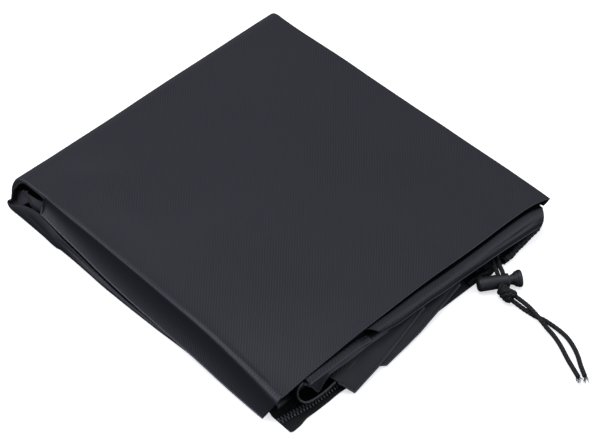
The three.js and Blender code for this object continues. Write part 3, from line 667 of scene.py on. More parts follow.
def follow(table, key, column):
    """A smooth curve through one column of a table, which never passes beyond its rows."""
    x = np.array([row[key] for row in table], float)
    y = np.array([row[column] for row in table], float)
    step = np.diff(x)
    slope = np.diff(y) / step
    tangent = np.r_[slope[0], np.zeros(len(x) - 2), slope[-1]]
    same = slope[:-1] * slope[1:] > 0
    total = np.where(same, slope[:-1] + slope[1:], 1)
    tangent[1:-1] = np.where(same, 2 * slope[:-1] * slope[1:] / total, 0)

    def at(place):
        p = np.clip(place, x[0], x[-1])
        i = np.clip(np.searchsorted(x, p, "right") - 1, 0, len(step) - 1)
        t = (p - x[i]) / step[i]
        return (y[i] * (1 + 2 * t) * (1 - t) ** 2 + step[i] * tangent[i] * t * (1 - t) ** 2
                + y[i + 1] * t ** 2 * (3 - 2 * t) + step[i] * tangent[i + 1] * t ** 2 * (t - 1))

    return at


def ramp(value, low, high):
    """A soft step from 0 at low to 1 at high."""
    t = np.clip((np.asarray(value, float) - low) / (high - low), 0, 1)
    return t * t * (3 - 2 * t)


top_edge = follow(OPEN_EDGES, "y", "top")
floor_edge = follow(OPEN_EDGES, "y", "floor")


def droop(x, y):
    """How far the layers sink at a place near the packet's near corner."""
    return DROOP_DEPTH * ramp(x, *DROOP_X) * ramp(-y, *DROOP_Y)


def outline(station, y):
    """The packet's outline across X and Z at a station, and the direction to its inside."""
    top_x = top_edge(y) + (SPINE_X - top_edge(y)) * station
    turn = np.clip(station - 1, 0, 1) * math.pi
    out, up = np.sin(turn), np.cos(turn)
    fullness = 1 + (SPINE_FULLNESS - 1) * ramp(y, -HALF_WIDTH, HALF_WIDTH)
    rise = TOP_MID - BELLY_Z
    across = unit(np.stack([out / SPINE_DEPTH, -up / rise], -1))
    spread = FOOT_SPREAD * ramp(-y, HALF_WIDTH, HALF_WIDTH + FOOT_SPREAD_LENGTH)
    spread = spread * ramp(-up, *FOOT_SPREAD_DOWN)
    upper = up >= 0
    spine_x = np.where(upper, SPINE_X - SPINE_DEPTH * out ** fullness,
                       SPINE_X - (SPINE_DEPTH + spread) * out ** SPINE_FULLNESS)
    spine_z = np.where(upper, BELLY_Z + rise * np.abs(up) ** fullness,
                       BELLY_Z - (BELLY_Z - FLOOR_MID) * np.abs(up) ** SPINE_FULLNESS)
    in_x = np.where(upper, across[..., 0], out)
    in_z = np.where(upper, across[..., 1], -up)
    floor_x = SPINE_X + (floor_edge(y) - SPINE_X) * (station - 2)
    on_top, on_floor = station <= 1, station >= 2
    x = np.select([on_top, on_floor], [top_x, floor_x], spine_x)
    z = np.select([on_top, on_floor], [TOP_MID - droop(top_x, y), FLOOR_MID + 0 * y], spine_z)
    return (x, z, np.select([on_top, on_floor], [0 * y, 0 * y], in_x),
            np.select([on_top, on_floor], [-1 + 0 * y, 1 + 0 * y], in_z))


def side_rows(station, table, shares, round_at, sign):
    """The turned side at each station: from its free edge up to its crease and round it."""
    crease, edge, reach, dip = (
        follow(table, "station", column)(station)[:, None]
        for column in ("crease", "edge", "reach", "dip")
    )
    share = np.array(shares)[None, :]
    round_mm = np.minimum(round_at[:, None], reach * ROUND_SHARE + ROUND_LEAST)
    tuck = dip * np.sin(math.pi * share ** TUCK_EASE)
    y = crease + (edge - crease) * share ** SIDE_EASE - sign * tuck
    depth = round_mm + (reach - round_mm) * share
    x, z, in_x, in_z = outline(station[:, None] + 0 * share, crease + 0 * share)
    rake = np.where(station[:, None] <= 1, SIDE_RAKE * depth * (1 - station[:, None]), 0)
    side = np.stack([x + in_x * depth - rake, y, z + in_z * depth], -1)
    corners = []
    for turn in np.radians(CREASE_TURNS):
        inside = crease - sign * round_mm * (1 - math.cos(turn))
        depth = round_mm * (1 - math.sin(turn))
        x, z, in_x, in_z = outline(station[:, None], inside)
        corners.append(np.concatenate([x + in_x * depth, inside, z + in_z * depth], 1))
    return side, np.stack(corners, 1)


def outer_grid(stations):
    """The sheet's middle: a row for each station, from the front side's free edge to the back's."""
    round_front = follow(FRONT_CREASE, "station", "round")(stations)
    sink = follow(FRONT_CREASE, "station", "sink")(stations)
    front, front_corner = side_rows(stations, FRONT_SIDE, WALL_SHARES, round_front, -1)
    rear, rear_corner = side_rows(stations, BACK_SIDE, WALL_SHARES,
                                  np.full(len(stations), BACK_ROUND), 1)
    front_y = follow(FRONT_SIDE, "station", "crease")(stations)
    rear_y = follow(BACK_SIDE, "station", "crease")(stations)
    places = [front_y + FLAT_FROM * round_front, front_y + SINK_AT, front_y + SINK_END]
    low, high = places[-1], rear_y - FLAT_FROM * BACK_ROUND
    places += [low + (high - low) * share for share in np.linspace(0, 1, FLAT_COLUMNS + 1)[1:]]
    sinks = [0 * sink, sink, SINK_LEFT * sink] + [0 * sink] * FLAT_COLUMNS
    flat = []
    for y, down in zip(places, sinks):
        x, z, in_x, in_z = outline(stations, y)
        flat.append(np.stack([x + in_x * down, y, z + in_z * down], -1))
    return np.concatenate(
        [front, front_corner, np.stack(flat, 1), rear_corner[:, ::-1], rear[:, ::-1]], 1)


# A ridge fades to its ends along half a wave, with this share of it cut off at each.
CREASE_CUT = 0.12


def creased(points, table):
    """How high soft ridges and troughs stand at each point: each runs from a to b and fades."""
    total = np.zeros(points.shape[:-1])
    for row in table:
        a, b = np.array(row["a"], float), np.array(row["b"], float)
        t = np.clip((points - a) @ (b - a) / ((b - a) @ (b - a)), 0, 1)
        off = np.linalg.norm(points - a - t[..., None] * (b - a), axis=-1)
        fade = np.sin(math.pi * (CREASE_CUT + (1 - 2 * CREASE_CUT) * t))
        total += row["height"] * fade * np.exp(-(off / row["width"]) ** 2)
    return total


def rumple(points, size, height, seed=0):
    """Low uneven swells of about that size, as cloth has where nothing pulls it flat. Each seed
    reads another part of the noise."""
    flat = points.reshape(-1, 3) / size
    aside = Vector((seed * 7.3, seed * 3.1, 0))
    values = [noise.noise(Vector(p) + aside) for p in flat]
    return height * np.array(values).reshape(points.shape[:-1])


def grid_normal(grid):
    return unit(np.cross(np.gradient(grid, axis=0), np.gradient(grid, axis=1)))


# How clear of the surface the cloth stays.
FLOOR_CLEAR = 0.02


def dressed(grid, thickness, cad, relief=0, outward=1):
    """The sheet's middle and its normals. Its outer side stays where the frame's thicker sheet has it,
    and the relief lifts it from there, but never below the surface that the packet lies on. outward
    is -1 where the grid's own normals point inside."""
    lift = np.broadcast_to(relief + (cad - thickness) / 2, grid.shape[:2])
    middle = grid + outward * grid_normal(grid) * lift[..., None]
    middle[..., 2] = np.maximum(middle[..., 2], thickness / 2 + FLOOR_CLEAR)
    return middle, outward * grid_normal(middle)


# How far a sheet's rounded rim stands past it, as a share of its thickness.
RIM_ROUND = 0.4


def cloth_parts(middle, normal, thickness, slant=1, painted_highlight=0):
    """A sheet with a rounded rim: its points, faces and cloth coordinates, which are in millimetres
    along the rows and the columns, and then 1 on the outer side and 0 on the coated one. slant is -1
    where the rows and the columns have changed places. The last argument is added to the 1 where a
    pale highlight is painted along a crease, up to 1 more."""
    rows, columns = middle.shape[:2]
    outward = np.sign((grid_normal(middle) * normal).sum())
    coordinates_and_painted_light = np.stack([
        np.broadcast_to(arc(middle, 0).mean(1, keepdims=True), (rows, columns)),
        slant * (arc(middle, 1) - arc(middle, 1)[:, columns // 2:columns // 2 + 1]),
        np.ones((rows, columns)) + painted_highlight,
    ], -1)
    upper, lower = middle + normal * thickness / 2, middle - normal * thickness / 2
    ring = [(0, j) for j in range(columns)] + [(i, columns - 1) for i in range(1, rows)]
    ring += [(rows - 1, j) for j in range(columns - 2, -1, -1)]
    ring += [(i, 0) for i in range(rows - 2, 0, -1)]
    inner = [(min(max(i, 1), rows - 2), min(max(j, 1), columns - 2)) for i, j in ring]
    out = unit(np.array([middle[p] - middle[q] for p, q in zip(ring, inner)]))
    rim = np.array([middle[p] for p in ring]) + out * thickness * RIM_ROUND
    points = np.vstack([upper.reshape(-1, 3), lower.reshape(-1, 3), rim])
    wear_and_painted_highlight = np.vstack([coordinates_and_painted_light.reshape(-1, 3), coordinates_and_painted_light.reshape(-1, 3) * (1, 1, 0),
                      np.array([coordinates_and_painted_light[p] for p in ring]) * (1, 1, 0.5)])
    i, j = np.meshgrid(np.arange(rows - 1), np.arange(columns - 1), indexing="ij")
    a = (i * columns + j).ravel()
    top = np.column_stack([a, a + columns, a + columns + 1, a + 1])
    under = np.column_stack([a, a + 1, a + columns + 1, a + columns]) + rows * columns
    at = np.array([p * columns + q for p, q in ring])
    following = np.roll(np.arange(len(ring)), -1)
    edge = 2 * rows * columns + np.arange(len(ring))
    above = np.column_stack([at, at[following], edge[following], edge])
    below = np.column_stack([edge, edge[following], at[following] + rows * columns,
                             at + rows * columns])
    faces = np.vstack([top, under, above, below])
    faces = faces if outward > 0 else faces[:, ::-1]
    return points, [tuple(face) for face in faces.tolist()], wear_and_painted_highlight


def rim_with_painted_highlight(line, width, painted_highlight):
    """A folded edge, thicker than the cloth, with a pale highlight painted along it."""
    points, faces, _ = rod(line, width / 2, 8)
    return points, faces, [[0, 0, 1 + painted_highlight]]


STITCH_LENGTH = 2.6
STITCH_GAP = 0.8
THREAD_D = 0.42


def stitches(line, normal, lift):
    """A row of lockstitches along a line on the cloth, each a short thread that dips at its ends."""
    run = arc(line)
    share = np.linspace(0, 1, 5)
    rise = lift + THREAD_D * (0.5 * np.sin(np.pi * share) - 0.25)
    made = []
    for start in np.arange(1, run[-1] - STITCH_LENGTH, STITCH_LENGTH + STITCH_GAP):
        at = start + STITCH_LENGTH * share
        thread = read_line(at, run, line) + read_line(at, run, normal) * rise[:, None]
        made.append(rod(thread, THREAD_D / 2, 5))
    return made


# The twill's slanting ribs, how far and over what length they stray, its yarns' grain, and the
# patches where the ribs show less.
RIB_PITCH = 1.65
RIB_STRAY = 6
STRAY_LENGTH = 9.1
WEAVE_GRAIN = 0.8
RIB_PATCHES = 45.5


def coated_polyester(name, dark, light, coated, gloss=0.46):
    """Twill-woven polyester, coated on its inner side: fine slanting ribs, near black and semi-matt.
    The inner side is smoother and glossier, and a pale highlight is painted along pressed creases and
    folded rims. Real ribs and yarns are finer than a pixel, so they are drawn at a pitch that shows."""
    material, tree, output = bare_material(name)
    coordinates_and_painted_light = add(tree, "Attribute", {"attribute_name": "coordinates_and_painted_light"}).outputs["Vector"]
    place = add(tree, "TexCoord").outputs["Object"]
    parts = add(tree, "SeparateXYZ", inputs={"Vector": coordinates_and_painted_light})
    slant = add(tree, "Math", {"operation": "SUBTRACT"},
                {0: parts.outputs["X"], 1: parts.outputs["Y"]})
    waver = add(tree, "TexNoise", inputs={"Vector": place, "Scale": 1 / (STRAY_LENGTH * MM),
                                          "Detail": 3})
    phase = add(tree, "Math", {"operation": "MULTIPLY"},
                {0: slant.outputs[0], 1: 2 * math.pi * math.sqrt(0.5) / RIB_PITCH})
    strayed = add(tree, "Math", {"operation": "MULTIPLY_ADD"},
                  {0: waver.outputs["Fac"], 1: RIB_STRAY, 2: phase.outputs[0]})
    rib = add(tree, "Math", {"operation": "SINE"}, {0: strayed.outputs[0]})
    grain = add(tree, "TexNoise", inputs={"Vector": place, "Scale": 1 / (WEAVE_GRAIN * MM),
                                          "Detail": 2})
    patchy = add(tree, "TexNoise", inputs={"Vector": place, "Scale": 1 / (RIB_PATCHES * MM),
                                           "Detail": 2})
    strength = add(tree, "MapRange", inputs={"Value": patchy.outputs["Fac"], "From Min": 0.35,
                                             "From Max": 0.65, "To Min": 0.25, "To Max": 1})
    woven = add(tree, "Math", {"operation": "MULTIPLY"}, {0: rib.outputs[0], 1: strength.outputs[0]})
    height = add(tree, "Math", {"operation": "MULTIPLY_ADD"},
                 {0: grain.outputs["Fac"], 1: 0.8, 2: woven.outputs[0]})
    shade = add(tree, "MapRange", inputs={"Value": height.outputs[0], "From Min": -0.8,
                                          "From Max": 1.6})
    outside = add(tree, "Mix", {"data_type": "RGBA"},
                  {"Factor": shade.outputs[0], 6: linear(dark), 7: linear(light)})
    colour = add(tree, "Mix", {"data_type": "RGBA"},
                 {"Factor": parts.outputs["Z"], 6: linear(coated), 7: outside.outputs[2]})
    # Past 1, the third value paints a pale highlight of this colour along creases and folded rims.
    painted_highlight = add(tree, "MapRange", inputs={"Value": parts.outputs["Z"], "From Min": 1, "From Max": 2})
    colour = add(tree, "Mix", {"data_type": "RGBA"},
                 {"Factor": painted_highlight.outputs[0], 6: colour.outputs[2], 7: linear("#55565e")})
    rough = add(tree, "MapRange", inputs={"Value": parts.outputs["Z"], "To Min": gloss - 0.14,
                                          "To Max": gloss})
    bump = add(tree, "Bump", inputs={"Height": height.outputs[0], "Distance": 0.0001,
                                     "Strength": 0.5})
    cloth = add(tree, "BsdfPrincipled", inputs={
        "Base Color": colour.outputs[2], "Roughness": rough.outputs[0], "IOR": 1.38,
        "Normal": bump.outputs["Normal"],
    })
    finish(tree, output, cloth)
    return material


outer_polyester = coated_polyester("coated twill polyester", "#1a1b1f", "#292a31", "#3a393e")
# A darker copy of the same cloth, with painted shade, for the laps inside the packet and for the hem
# channel.
inner_painted_shade_polyester = coated_polyester("coated twill polyester, painted shade inside", "#08090b", "#111215",
                                   "#17181b", 0.6)
# The rows lie closer together where the cloth bends.
outer_stations = np.unique(np.concatenate([
    np.linspace(0, 0.1, 9), np.linspace(0.1, 0.86, 50), np.linspace(0.86, 1, 26),
    np.linspace(1, 2, 44), np.linspace(2, 2.2, 14), np.linspace(2.2, 3, 34),
]))
outer = smooth(outer_grid(outer_stations), 2, axis=1)
outer_relief = creased(outer, OUTER_CREASES)
for size, height, seed in OUTER_SWELLS:
    outer_relief = outer_relief + rumple(outer, size, height, seed)
tuck, gusset = (smooth(smooth(fold, 6), 6, axis=1) for fold in (SPINE_TUCK, SPINE_GUSSET))
# The column in the middle of the front crease: smooth has made two columns of each.
crease_column = 2 * len(WALL_SHARES) + len(CREASE_TURNS)
# A pale highlight is painted along the front crease, fading out to each side of it.
from_crease = arc(outer, 1) - arc(outer, 1)[:, crease_column:crease_column + 1]
crease_highlight_width = follow(FRONT_CREASE, "station", "rub")(outer_stations)[:, None]
painted_crease_highlight = CREASE_PAINTED_HIGHLIGHT * np.exp(-(from_crease / np.maximum(crease_highlight_width, 0.1)) ** 2)
outer_middle, outer_normal = dressed(outer, CLOTH, CLOTH_CAD, outer_relief, -1)
outer_cloth = piece("outer_cloth", [
    cloth_parts(outer_middle, outer_normal, CLOTH, painted_highlight=painted_crease_highlight),
    cloth_parts(tuck, -grid_normal(tuck), CLOTH),
    cloth_parts(gusset, grid_normal(gusset), CLOTH),
    rim_with_painted_highlight(outer_middle[outer_stations <= OPEN_WALL, 0], WALL_RIM, RIM_PAINTED_HIGHLIGHT),
], outer_polyester)
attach(outer_cloth, "cover")

# Hem channel
# The floor sheet's edge turned up and sewn down as a channel for the drawcord, drawn up in small
# gathers, and open between its two stretches where the cord comes out.
FLAP_CAD = 1.6
HEM = tabled("y reach radius", [
    (46, 125.6, 1.0),
    (50, 125.9, 1.2),
    (56, 127.6, 1.5),
    (66, 129.0, 1.6),
    (80, 129.2, 1.7),
    (90, 127.9, 1.5),
    (102, 126.4, 1.1),
    (113, 125.4, 0.9),
])
HEM_STRETCHES = [(46, 63.6), (75.2, 113)]
HEM_ROOT_X = 117
HEM_ROOT = (0, 0.35, 0.7, 0.9)
HEM_Z = 0.9
HEM_TURN = np.radians(np.linspace(-90, 150, 19))
HEM_SPACING = 0.4
# The gathers: how far apart, how far and over what length that strays, how far they stand out and
# lean over, and how much they swell the channel.
GATHER_PITCH = 3.1
GATHER_STRAY = 1.7
GATHER_STRAY_LENGTH = 5
GATHER_DEPTH = 0.25
GATHER_LEAN = 0.5
GATHER_SWELL = 0.07


def hem_grid(low, high):
    places = np.linspace(low, high, round((high - low) / HEM_SPACING))
    stray = GATHER_STRAY * np.sin(places / GATHER_STRAY_LENGTH)
    gather = np.sin(2 * math.pi * places / GATHER_PITCH + stray)
    reach = follow(HEM, "y", "reach")(places)
    radius = follow(HEM, "y", "radius")(places) * (1 + GATHER_SWELL * gather)
    centre = reach - radius - FLAP_CAD / 2 + GATHER_DEPTH * gather
    rows = []
    for y, c, r in zip(places, centre, radius):
        lean = GATHER_LEAN * np.sin(HEM_TURN * 2 + y)
        loop = np.stack([c + r * np.cos(HEM_TURN), y + lean,
                         HEM_Z + r * (1 + np.sin(HEM_TURN))], -1)
        root = [(HEM_ROOT_X + (c - HEM_ROOT_X) * s, y, HEM_Z) for s in HEM_ROOT]
        rows.append(np.vstack([root, loop]))
    return np.array(rows)


# The channel is made of the darker copy of the cloth, with painted shade.
hem_channel = piece("hem_channel", [
    cloth_parts(*dressed(hem, CLOTH, FLAP_CAD, rumple(hem, 3, 0.35, 4)), CLOTH)
    for hem in (hem_grid(*stretch) for stretch in HEM_STRETCHES)
], inner_painted_shade_polyester)
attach(hem_channel, "cover")
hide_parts("front_panel")

# Laps
# The layers inside the packet: the sleeve's back panel runs back and forth in one strip, each lap a U
# bent round the spine and each one further in than the last.
LAYER_PITCH = 3.3
LAPS = [1, 2, 3]
LAP_ENDS = tabled("station front back", [
    (0, -106, 110),
    (0.8, -106.5, 109.5),
    (0.93, -103.5, 107),
    (1.2, -108.5, 110),
    (1.8, -111, 111.5),
    (3, -108, 109),
])
LAP_OPEN_X = 112
LAP_SHORTER = 1.5
LAP_WAVE_LENGTH = 24
# How the laps' sides stray in and out: from lap to lap, and along each.
LAP_STAGGER = (2.1, 1.3)
LAP_COLUMNS = 41
LAP_CLOTH = 1.0
MIDDLE_Z = (FLOOR_MID + TOP_MID) / 2
FOLD_TURNS = np.radians([30, 60, 90, 120, 150])


def lap_rows(lap, stations):
    inset = lap * LAYER_PITCH
    station = stations[:, None]
    share = np.linspace(0, 1, LAP_COLUMNS)[None, :]
    stagger = np.sin(LAP_STAGGER[0] * lap + LAP_STAGGER[1] * station)
    front = follow(LAP_ENDS, "station", "front")(station) + stagger
    rear = follow(LAP_ENDS, "station", "back")(station) + stagger
    y = front + (rear - front) * share
    open_x = LAP_OPEN_X - LAP_SHORTER * lap + np.sin(y / LAP_WAVE_LENGTH + lap)
    top_x = open_x + (SPINE_X - open_x) * station
    turn = np.clip(station - 1, 0, 1) * math.pi
    bend_x = SPINE_X - (SPINE_DEPTH - inset) * np.sin(turn) + 0 * y
    bend_z = MIDDLE_Z + (TOP_MID - MIDDLE_Z - inset) * np.cos(turn) + 0 * y
    floor_x = SPINE_X + (open_x - SPINE_X) * (station - 2)
    flat = [station <= 1, station >= 2]
    x = np.select(flat, [top_x, floor_x], bend_x)
    z = np.select(flat, [TOP_MID - inset - droop(top_x, y), FLOOR_MID + inset + 0 * y], bend_z)
    return np.stack([x, y, z], -1)


def strip_grid():
    stations = np.unique(np.concatenate([
        np.linspace(0, 1, 26), np.linspace(1, 2, 22), np.linspace(2, 3, 24)]))
    rows = []
    for lap in LAPS:
        made = lap_rows(lap, stations)
        rows.append(made if lap % 2 else made[::-1])
        if lap < LAPS[-1]:
            end = rows[-1][-1]
            other = lap_rows(lap + 1, stations)[-1 if lap % 2 else 0]
            fold = np.array([end + (other - end) * (1 - math.cos(t)) / 2
                             + (LAYER_PITCH / 2 * math.sin(t), 0, 0) for t in FOLD_TURNS])
            rows.append(fold)
    return np.concatenate(rows)


strip = strip_grid()
# The laps are made of the darker copy of the cloth, with painted shade.
laps = piece("laps", [
    cloth_parts(*dressed(strip, LAP_CLOTH, LAP_CLOTH, rumple(strip, 16, 0.5, 1)), LAP_CLOTH)
], inner_painted_shade_polyester)
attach(laps, "cover")
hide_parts("back_panel")

# Roll
# The sleeve's end, rolled under the top sheet: it comes out below the open edge, turns down over the
# layers and ends in a sewn hem. A second fold shows along it towards the back.
ROLL = tabled("y crest_z out low_x low_z", [
    (-42, 23.6, 0.2, 119.0, 18.6),
    (-31, 23.4, 0.2, 120.0, 18.0),
    (-15, 22.4, 0.3, 121.3, 15.4),
    (6, 22.0, 0.3, 121.9, 14.9),
    (28, 21.2, 0.5, 122.8, 13.6),
    (50, 21.1, 0.5, 123.8, 13.1),
    (72, 21.1, 0.5, 124.9, 12.4),
    (90, 20.8, 0.5, 126.0, 11.3),
    (106, 20.3, 0.6, 126.8, 10.4),
    (114, 20.0, 0.6, 127.0, 9.4),
])
# The roll across, from under the top sheet out to its crest: how far along it, how far out from the
# crest and how far below it.
ROLL_LINE = tabled("share out drop", [
    (0, -26, 0.6),
    (0.3, -6, 2),
    (0.42, -3, 1.8),
    (0.52, -1.1, 0.7),
    (0.6, 0, 0),
])
ROLL_BELLY = (1.4, 0, 1.0)
ROLL_FRONT = -42
ROLL_BACK = 110.5
ROLL_BACK_SKEW = 9
ROLL_END_SKEW = 12
ROLL_CREASES = tabled("a b width height", [
    ((124.6, 110, 16.2), (124.2, 84, 16.2), 1.0, -0.7),
    ((124.2, 90, 16.2), (122.4, 56, 17.0), 1.2, -0.45),
    ((121.8, 44, 18.0), (120.0, -10, 19.4), 1.6, 0.25),
])
# The hem: its width, how high it stands and how soft that step is, how thick its fold is and how
# strong the pale highlight painted along it is, and where across it the seam runs.
HEM_WIDTH = 4.5
HEM_RISE = 0.4
HEM_STEP = 0.5
HEM_RIM = 1.1
HEM_PAINTED_HIGHLIGHT = 0.4
SEAM_AT = 0.75
# The thread's twist, drawn coarser than the real one so that it shows.
TWIST_SIZE = 0.385


def roll_grid():
    rows = []
    for along in np.linspace(0, 1, 120):
        upper = []
        for line in ROLL_LINE:
            front = ROLL_FRONT + ROLL_END_SKEW * line["share"] ** 2
            rear = ROLL_BACK + ROLL_BACK_SKEW * (1 - line["share"])
            y = front + (rear - front) * along
            at = {column: follow(ROLL, "y", column)(y) for column in ("crest_z", "out")}
            upper.append((top_edge(y) + at["out"] + line["out"], y, at["crest_z"] - line["drop"]))
        front = ROLL_FRONT + ROLL_END_SKEW
        y = front + (ROLL_BACK - front) * along
        low = np.array((follow(ROLL, "y", "low_x")(y), y, follow(ROLL, "y", "low_z")(y)))
        middle = (np.array(upper[-1]) + low) / 2 + ROLL_BELLY
        rows.append([*upper, middle, low])
    return smooth(np.array(rows, float), 8, axis=1)


def sewing_thread():
    """Bonded polyester thread: near black, with a soft lustre along its twist painted into its colour.
    """
    material, tree, output = bare_material("bonded polyester thread")
    place = add(tree, "TexCoord").outputs["Object"]
    twist = add(tree, "TexNoise", inputs={"Vector": place, "Scale": 1 / (TWIST_SIZE * MM),
                                          "Detail": 2})
    colour = add(tree, "Mix", {"data_type": "RGBA"},
                 {"Factor": twist.outputs["Fac"], 6: linear("#17181b"), 7: linear("#3f4046")})
    thread = add(tree, "BsdfPrincipled", inputs={
        "Base Color": colour.outputs[2], "Roughness": 0.5, "IOR": 1.45})
    finish(tree, output, thread)
    return material


def sewn(name, grid, relief, wear_and_painted_highlight=HEM_PAINTED_HIGHLIGHT, hem_width=HEM_WIDTH, cloth=outer_polyester):
    """A sheet of the sleeve's end with a hem along its last column. The hem is folded under itself, so
    it stands up, its fold is thick with a pale highlight painted along it, and a seam runs along it."""
    to_edge = arc(grid, 1)[:, -1:] - arc(grid, 1)
    relief = relief + HEM_RISE * (1 - ramp(to_edge, hem_width - HEM_STEP, hem_width + HEM_STEP))
    middle, normal = dressed(grid, CLOTH, FLAP_CAD, relief, -1)
    column = int(np.argmin(np.abs(to_edge.mean(0) - hem_width * SEAM_AT)))
    rim = rim_with_painted_highlight(middle[:, -1], HEM_RIM, wear_and_painted_highlight)
    made = piece(name, [cloth_parts(middle, normal, CLOTH, -1), rim], cloth)
    seam = stitches(middle[:, column], normal[:, column], CLOTH / 2)
    thread = piece(name + "_stitches", seam, polyester_thread)
    for one in (made, thread):
        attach(one, "cover")


polyester_thread = sewing_thread()
roll_cloth = roll_grid()
roll_relief = rumple(roll_cloth, 16, 0.3, 5) + creased(roll_cloth, ROLL_CREASES)
sewn("roll", roll_cloth, roll_relief, wear_and_painted_highlight=1)

# Underlap
# The next layer's end. It shows between the roll's end and the front corner, its own hem folded
# double, and its front corner hangs down over the mouth as a small tongue.
UNDERLAP_LINE = tabled("x z gain", [
    (92, 19.2, 0),
    (106, 19.4, 0.6),
    (113, 19.0, 1),
    (116.4, 19.6, 1),
    (118.6, 19.4, 0.9),
])
UNDERLAP = tabled("y rise low_x low_z", [
    (-92, 2.2, 118.6, 20.2),
    (-88.6, 2.2, 119.0, 17.4),
    (-83.5, 2.1, 120.2, 8.8),
    (-79, 2.0, 120.2, 13.4),
    (-73.5, 1.8, 120.4, 16.8),
    (-61, 1.4, 120.6, 16.0),
    (-48, 0.2, 120.6, 15.4),
    (-41, -2.0, 120.2, 14.4),
    (-24, -3.4, 119.6, 12.4),
])
# The hem's two folds: how far each lies above or below the line, and where along it each starts and
# ends. The upper one ends in a ledge over the lower one.
UNDERLAP_PLIES = tabled("name lift front back ledge flat", [
    ("underlap", -2.2, -92, -24, None, (0.034, 0.068)),
    ("underlap_fold", 0.3, -90, -39, (1.6, -1.0), (0.03, 0.051)),
])
UNDERLAP_CREASES = tabled("a b width height", [
    ((117.4, -90, 21), (117.6, -60, 20.6), 1.6, 0.3),
])


def underlap_grid(ply):
    rows = []
    for y in np.linspace(ply["front"], ply["back"], 70):
        at = {column: follow(UNDERLAP, "y", column)(y) for column in ("rise", "low_x", "low_z")}
        upper = [(line["x"], y, line["z"] + line["gain"] * at["rise"] + ply["lift"])
                 for line in UNDERLAP_LINE]
        low = (at["low_x"], y, at["low_z"])
        if ply["ledge"]:
            low = (upper[-1][0] + ply["ledge"][0], y, upper[-1][2] + ply["ledge"][1])
        rows.append([*upper, low])
    return smooth(np.array(rows, float), 7, axis=1)


for seed, ply in enumerate(UNDERLAP_PLIES, 6):
    grid = underlap_grid(ply)
    relief = rumple(grid, 16, 0.2, seed) + creased(grid, UNDERLAP_CREASES)
    sewn(ply["name"], grid, relief)

# Mouth
# The sleeve's bottom opening, seen end on at the front corner. Its hemmed rim runs down round the
# left and out to the right under the flaps, and the cloth sinks away behind it into a dark pocket.
MOUTH_RIM = tabled("x y z draw", [
    (116.2, -92.0, 20.8, 1),
    (116.8, -95.6, 20.2, 1),
    (117.6, -97.6, 17.0, 1),
    (119.2, -98.0, 13.4, 1),
    (121.0, -96.4, 10.7, 1),
    (122.4, -93.4, 9.3, 1),
    (123.0, -87.5, 8.5, 1),
    (123.0, -79.0, 8.0, 0.3),
    (122.4, -68.0, 8.8, 0.3),
    (120.6, -52.0, 9.2, 0.3),
])
# How far back from the rim, how much narrower there, and how far below it.
MOUTH_DEPTHS = [(0, 0, 0), (0.7, 0.1, 0.3), (1.6, 0.2, 1.8), (3, 0.3, 3.2), (8, 1.2, 3.9), (24, 4, 4)]
# The rim's hem, how far it stands off the cloth's edge, and how far its stitches stand off it.
MOUTH_HEM = 1.4
MOUTH_HEM_OUT = (0.25, 0, 0.1)
MOUTH_SEAM_LIFT = 0.1
# The cloth sinks behind the rim only below the first height, and wholly below the second.
MOUTH_SINKS_Z = (18, 12)
# The cloth's fibres, drawn coarser than the real ones so that they show.
INSIDE_FIBRES = 1.11


def inside_polyester():
    """The uncoated side of the cloth inside the sleeve: matt, with no lustre, and painted near black
    for the shade inside the mouth.
    """
    material, tree, output = bare_material("uncoated twill polyester, painted shade")
    place = add(tree, "TexCoord").outputs["Object"]
    fibres = add(tree, "TexNoise", inputs={"Vector": place, "Scale": 1 / (INSIDE_FIBRES * MM),
                                           "Detail": 3})
    colour = add(tree, "Mix", {"data_type": "RGBA"},
                 {"Factor": fibres.outputs["Fac"], 6: linear("#050506"), 7: linear("#111114")})
    bump = add(tree, "Bump", inputs={"Height": fibres.outputs["Fac"], "Distance": 0.0002,
                                     "Strength": 0.5})
    cloth = add(tree, "BsdfPrincipled", inputs={
        "Base Color": colour.outputs[2], "Roughness": 0.85, "IOR": 1.2,
        "Normal": bump.outputs["Normal"]})
    finish(tree, output, cloth)
    return material


from_z, to_z = MOUTH_SINKS_Z
mouth_cloth = smooth(smooth([
    [(row["x"] - into, row["y"] + narrow * row["draw"],
      row["z"] - sunk * ramp(-row["z"], -from_z, -to_z)) for row in MOUTH_RIM]
    for into, narrow, sunk in MOUTH_DEPTHS
], 6, axis=1), 5, axis=0)
mouth = piece("mouth", [cloth_parts(*dressed(mouth_cloth, CLOTH, FLAP_CAD), CLOTH)],
              inside_polyester())
rim_line = smooth([(row["x"], row["y"], row["z"]) for row in MOUTH_RIM], 8) + MOUTH_HEM_OUT
mouth_rim = piece("mouth_rim", [rod(rim_line, MOUTH_HEM / 2, 10)], outer_polyester)
rim_away = unit(np.cross(np.gradient(rim_line, axis=0), (1, 0, 0)))
seam_line = rim_line + (MOUTH_HEM / 2, 0, 0)
mouth_seam = piece("mouth_stitches", stitches(seam_line, rim_away, MOUTH_SEAM_LIFT), polyester_thread)
for made in (mouth, mouth_rim, mouth_seam):
    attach(made, "cover")

# Flaps
# Two corners of the sleeve's hem hang out over the layers and spread on the surface. Their edges are
# turned once and sewn, and each comes to a point.
NEAR_FLAP = {
    "top": [(118.0, -74, 11.4), (118.2, -50, 10.4), (118.4, -24, 10.4), (118.0, 8, 10.6)],
    "edge": [(124.4, -70.5, 8), (132.5, -64.9, 1.1), (130.2, -43.1, 3.4), (121.6, 6.6, 10)],
    "root": 9.8,
}
FAR_FLAP = {
    "top": [(117.2, -46, 9.2), (117.6, -22, 8.4), (117.8, 8, 8.2), (117.4, 40, 8.0)],
    "edge": [(124.0, -50, 4.6), (131.6, -36.6, 1.1), (129.0, -4.5, 2.4), (122.6, 38.5, 6.2)],
    "root": 7.6,
}
FLAP_ROOT_X = 100
FLAP_BELLY = 0.9
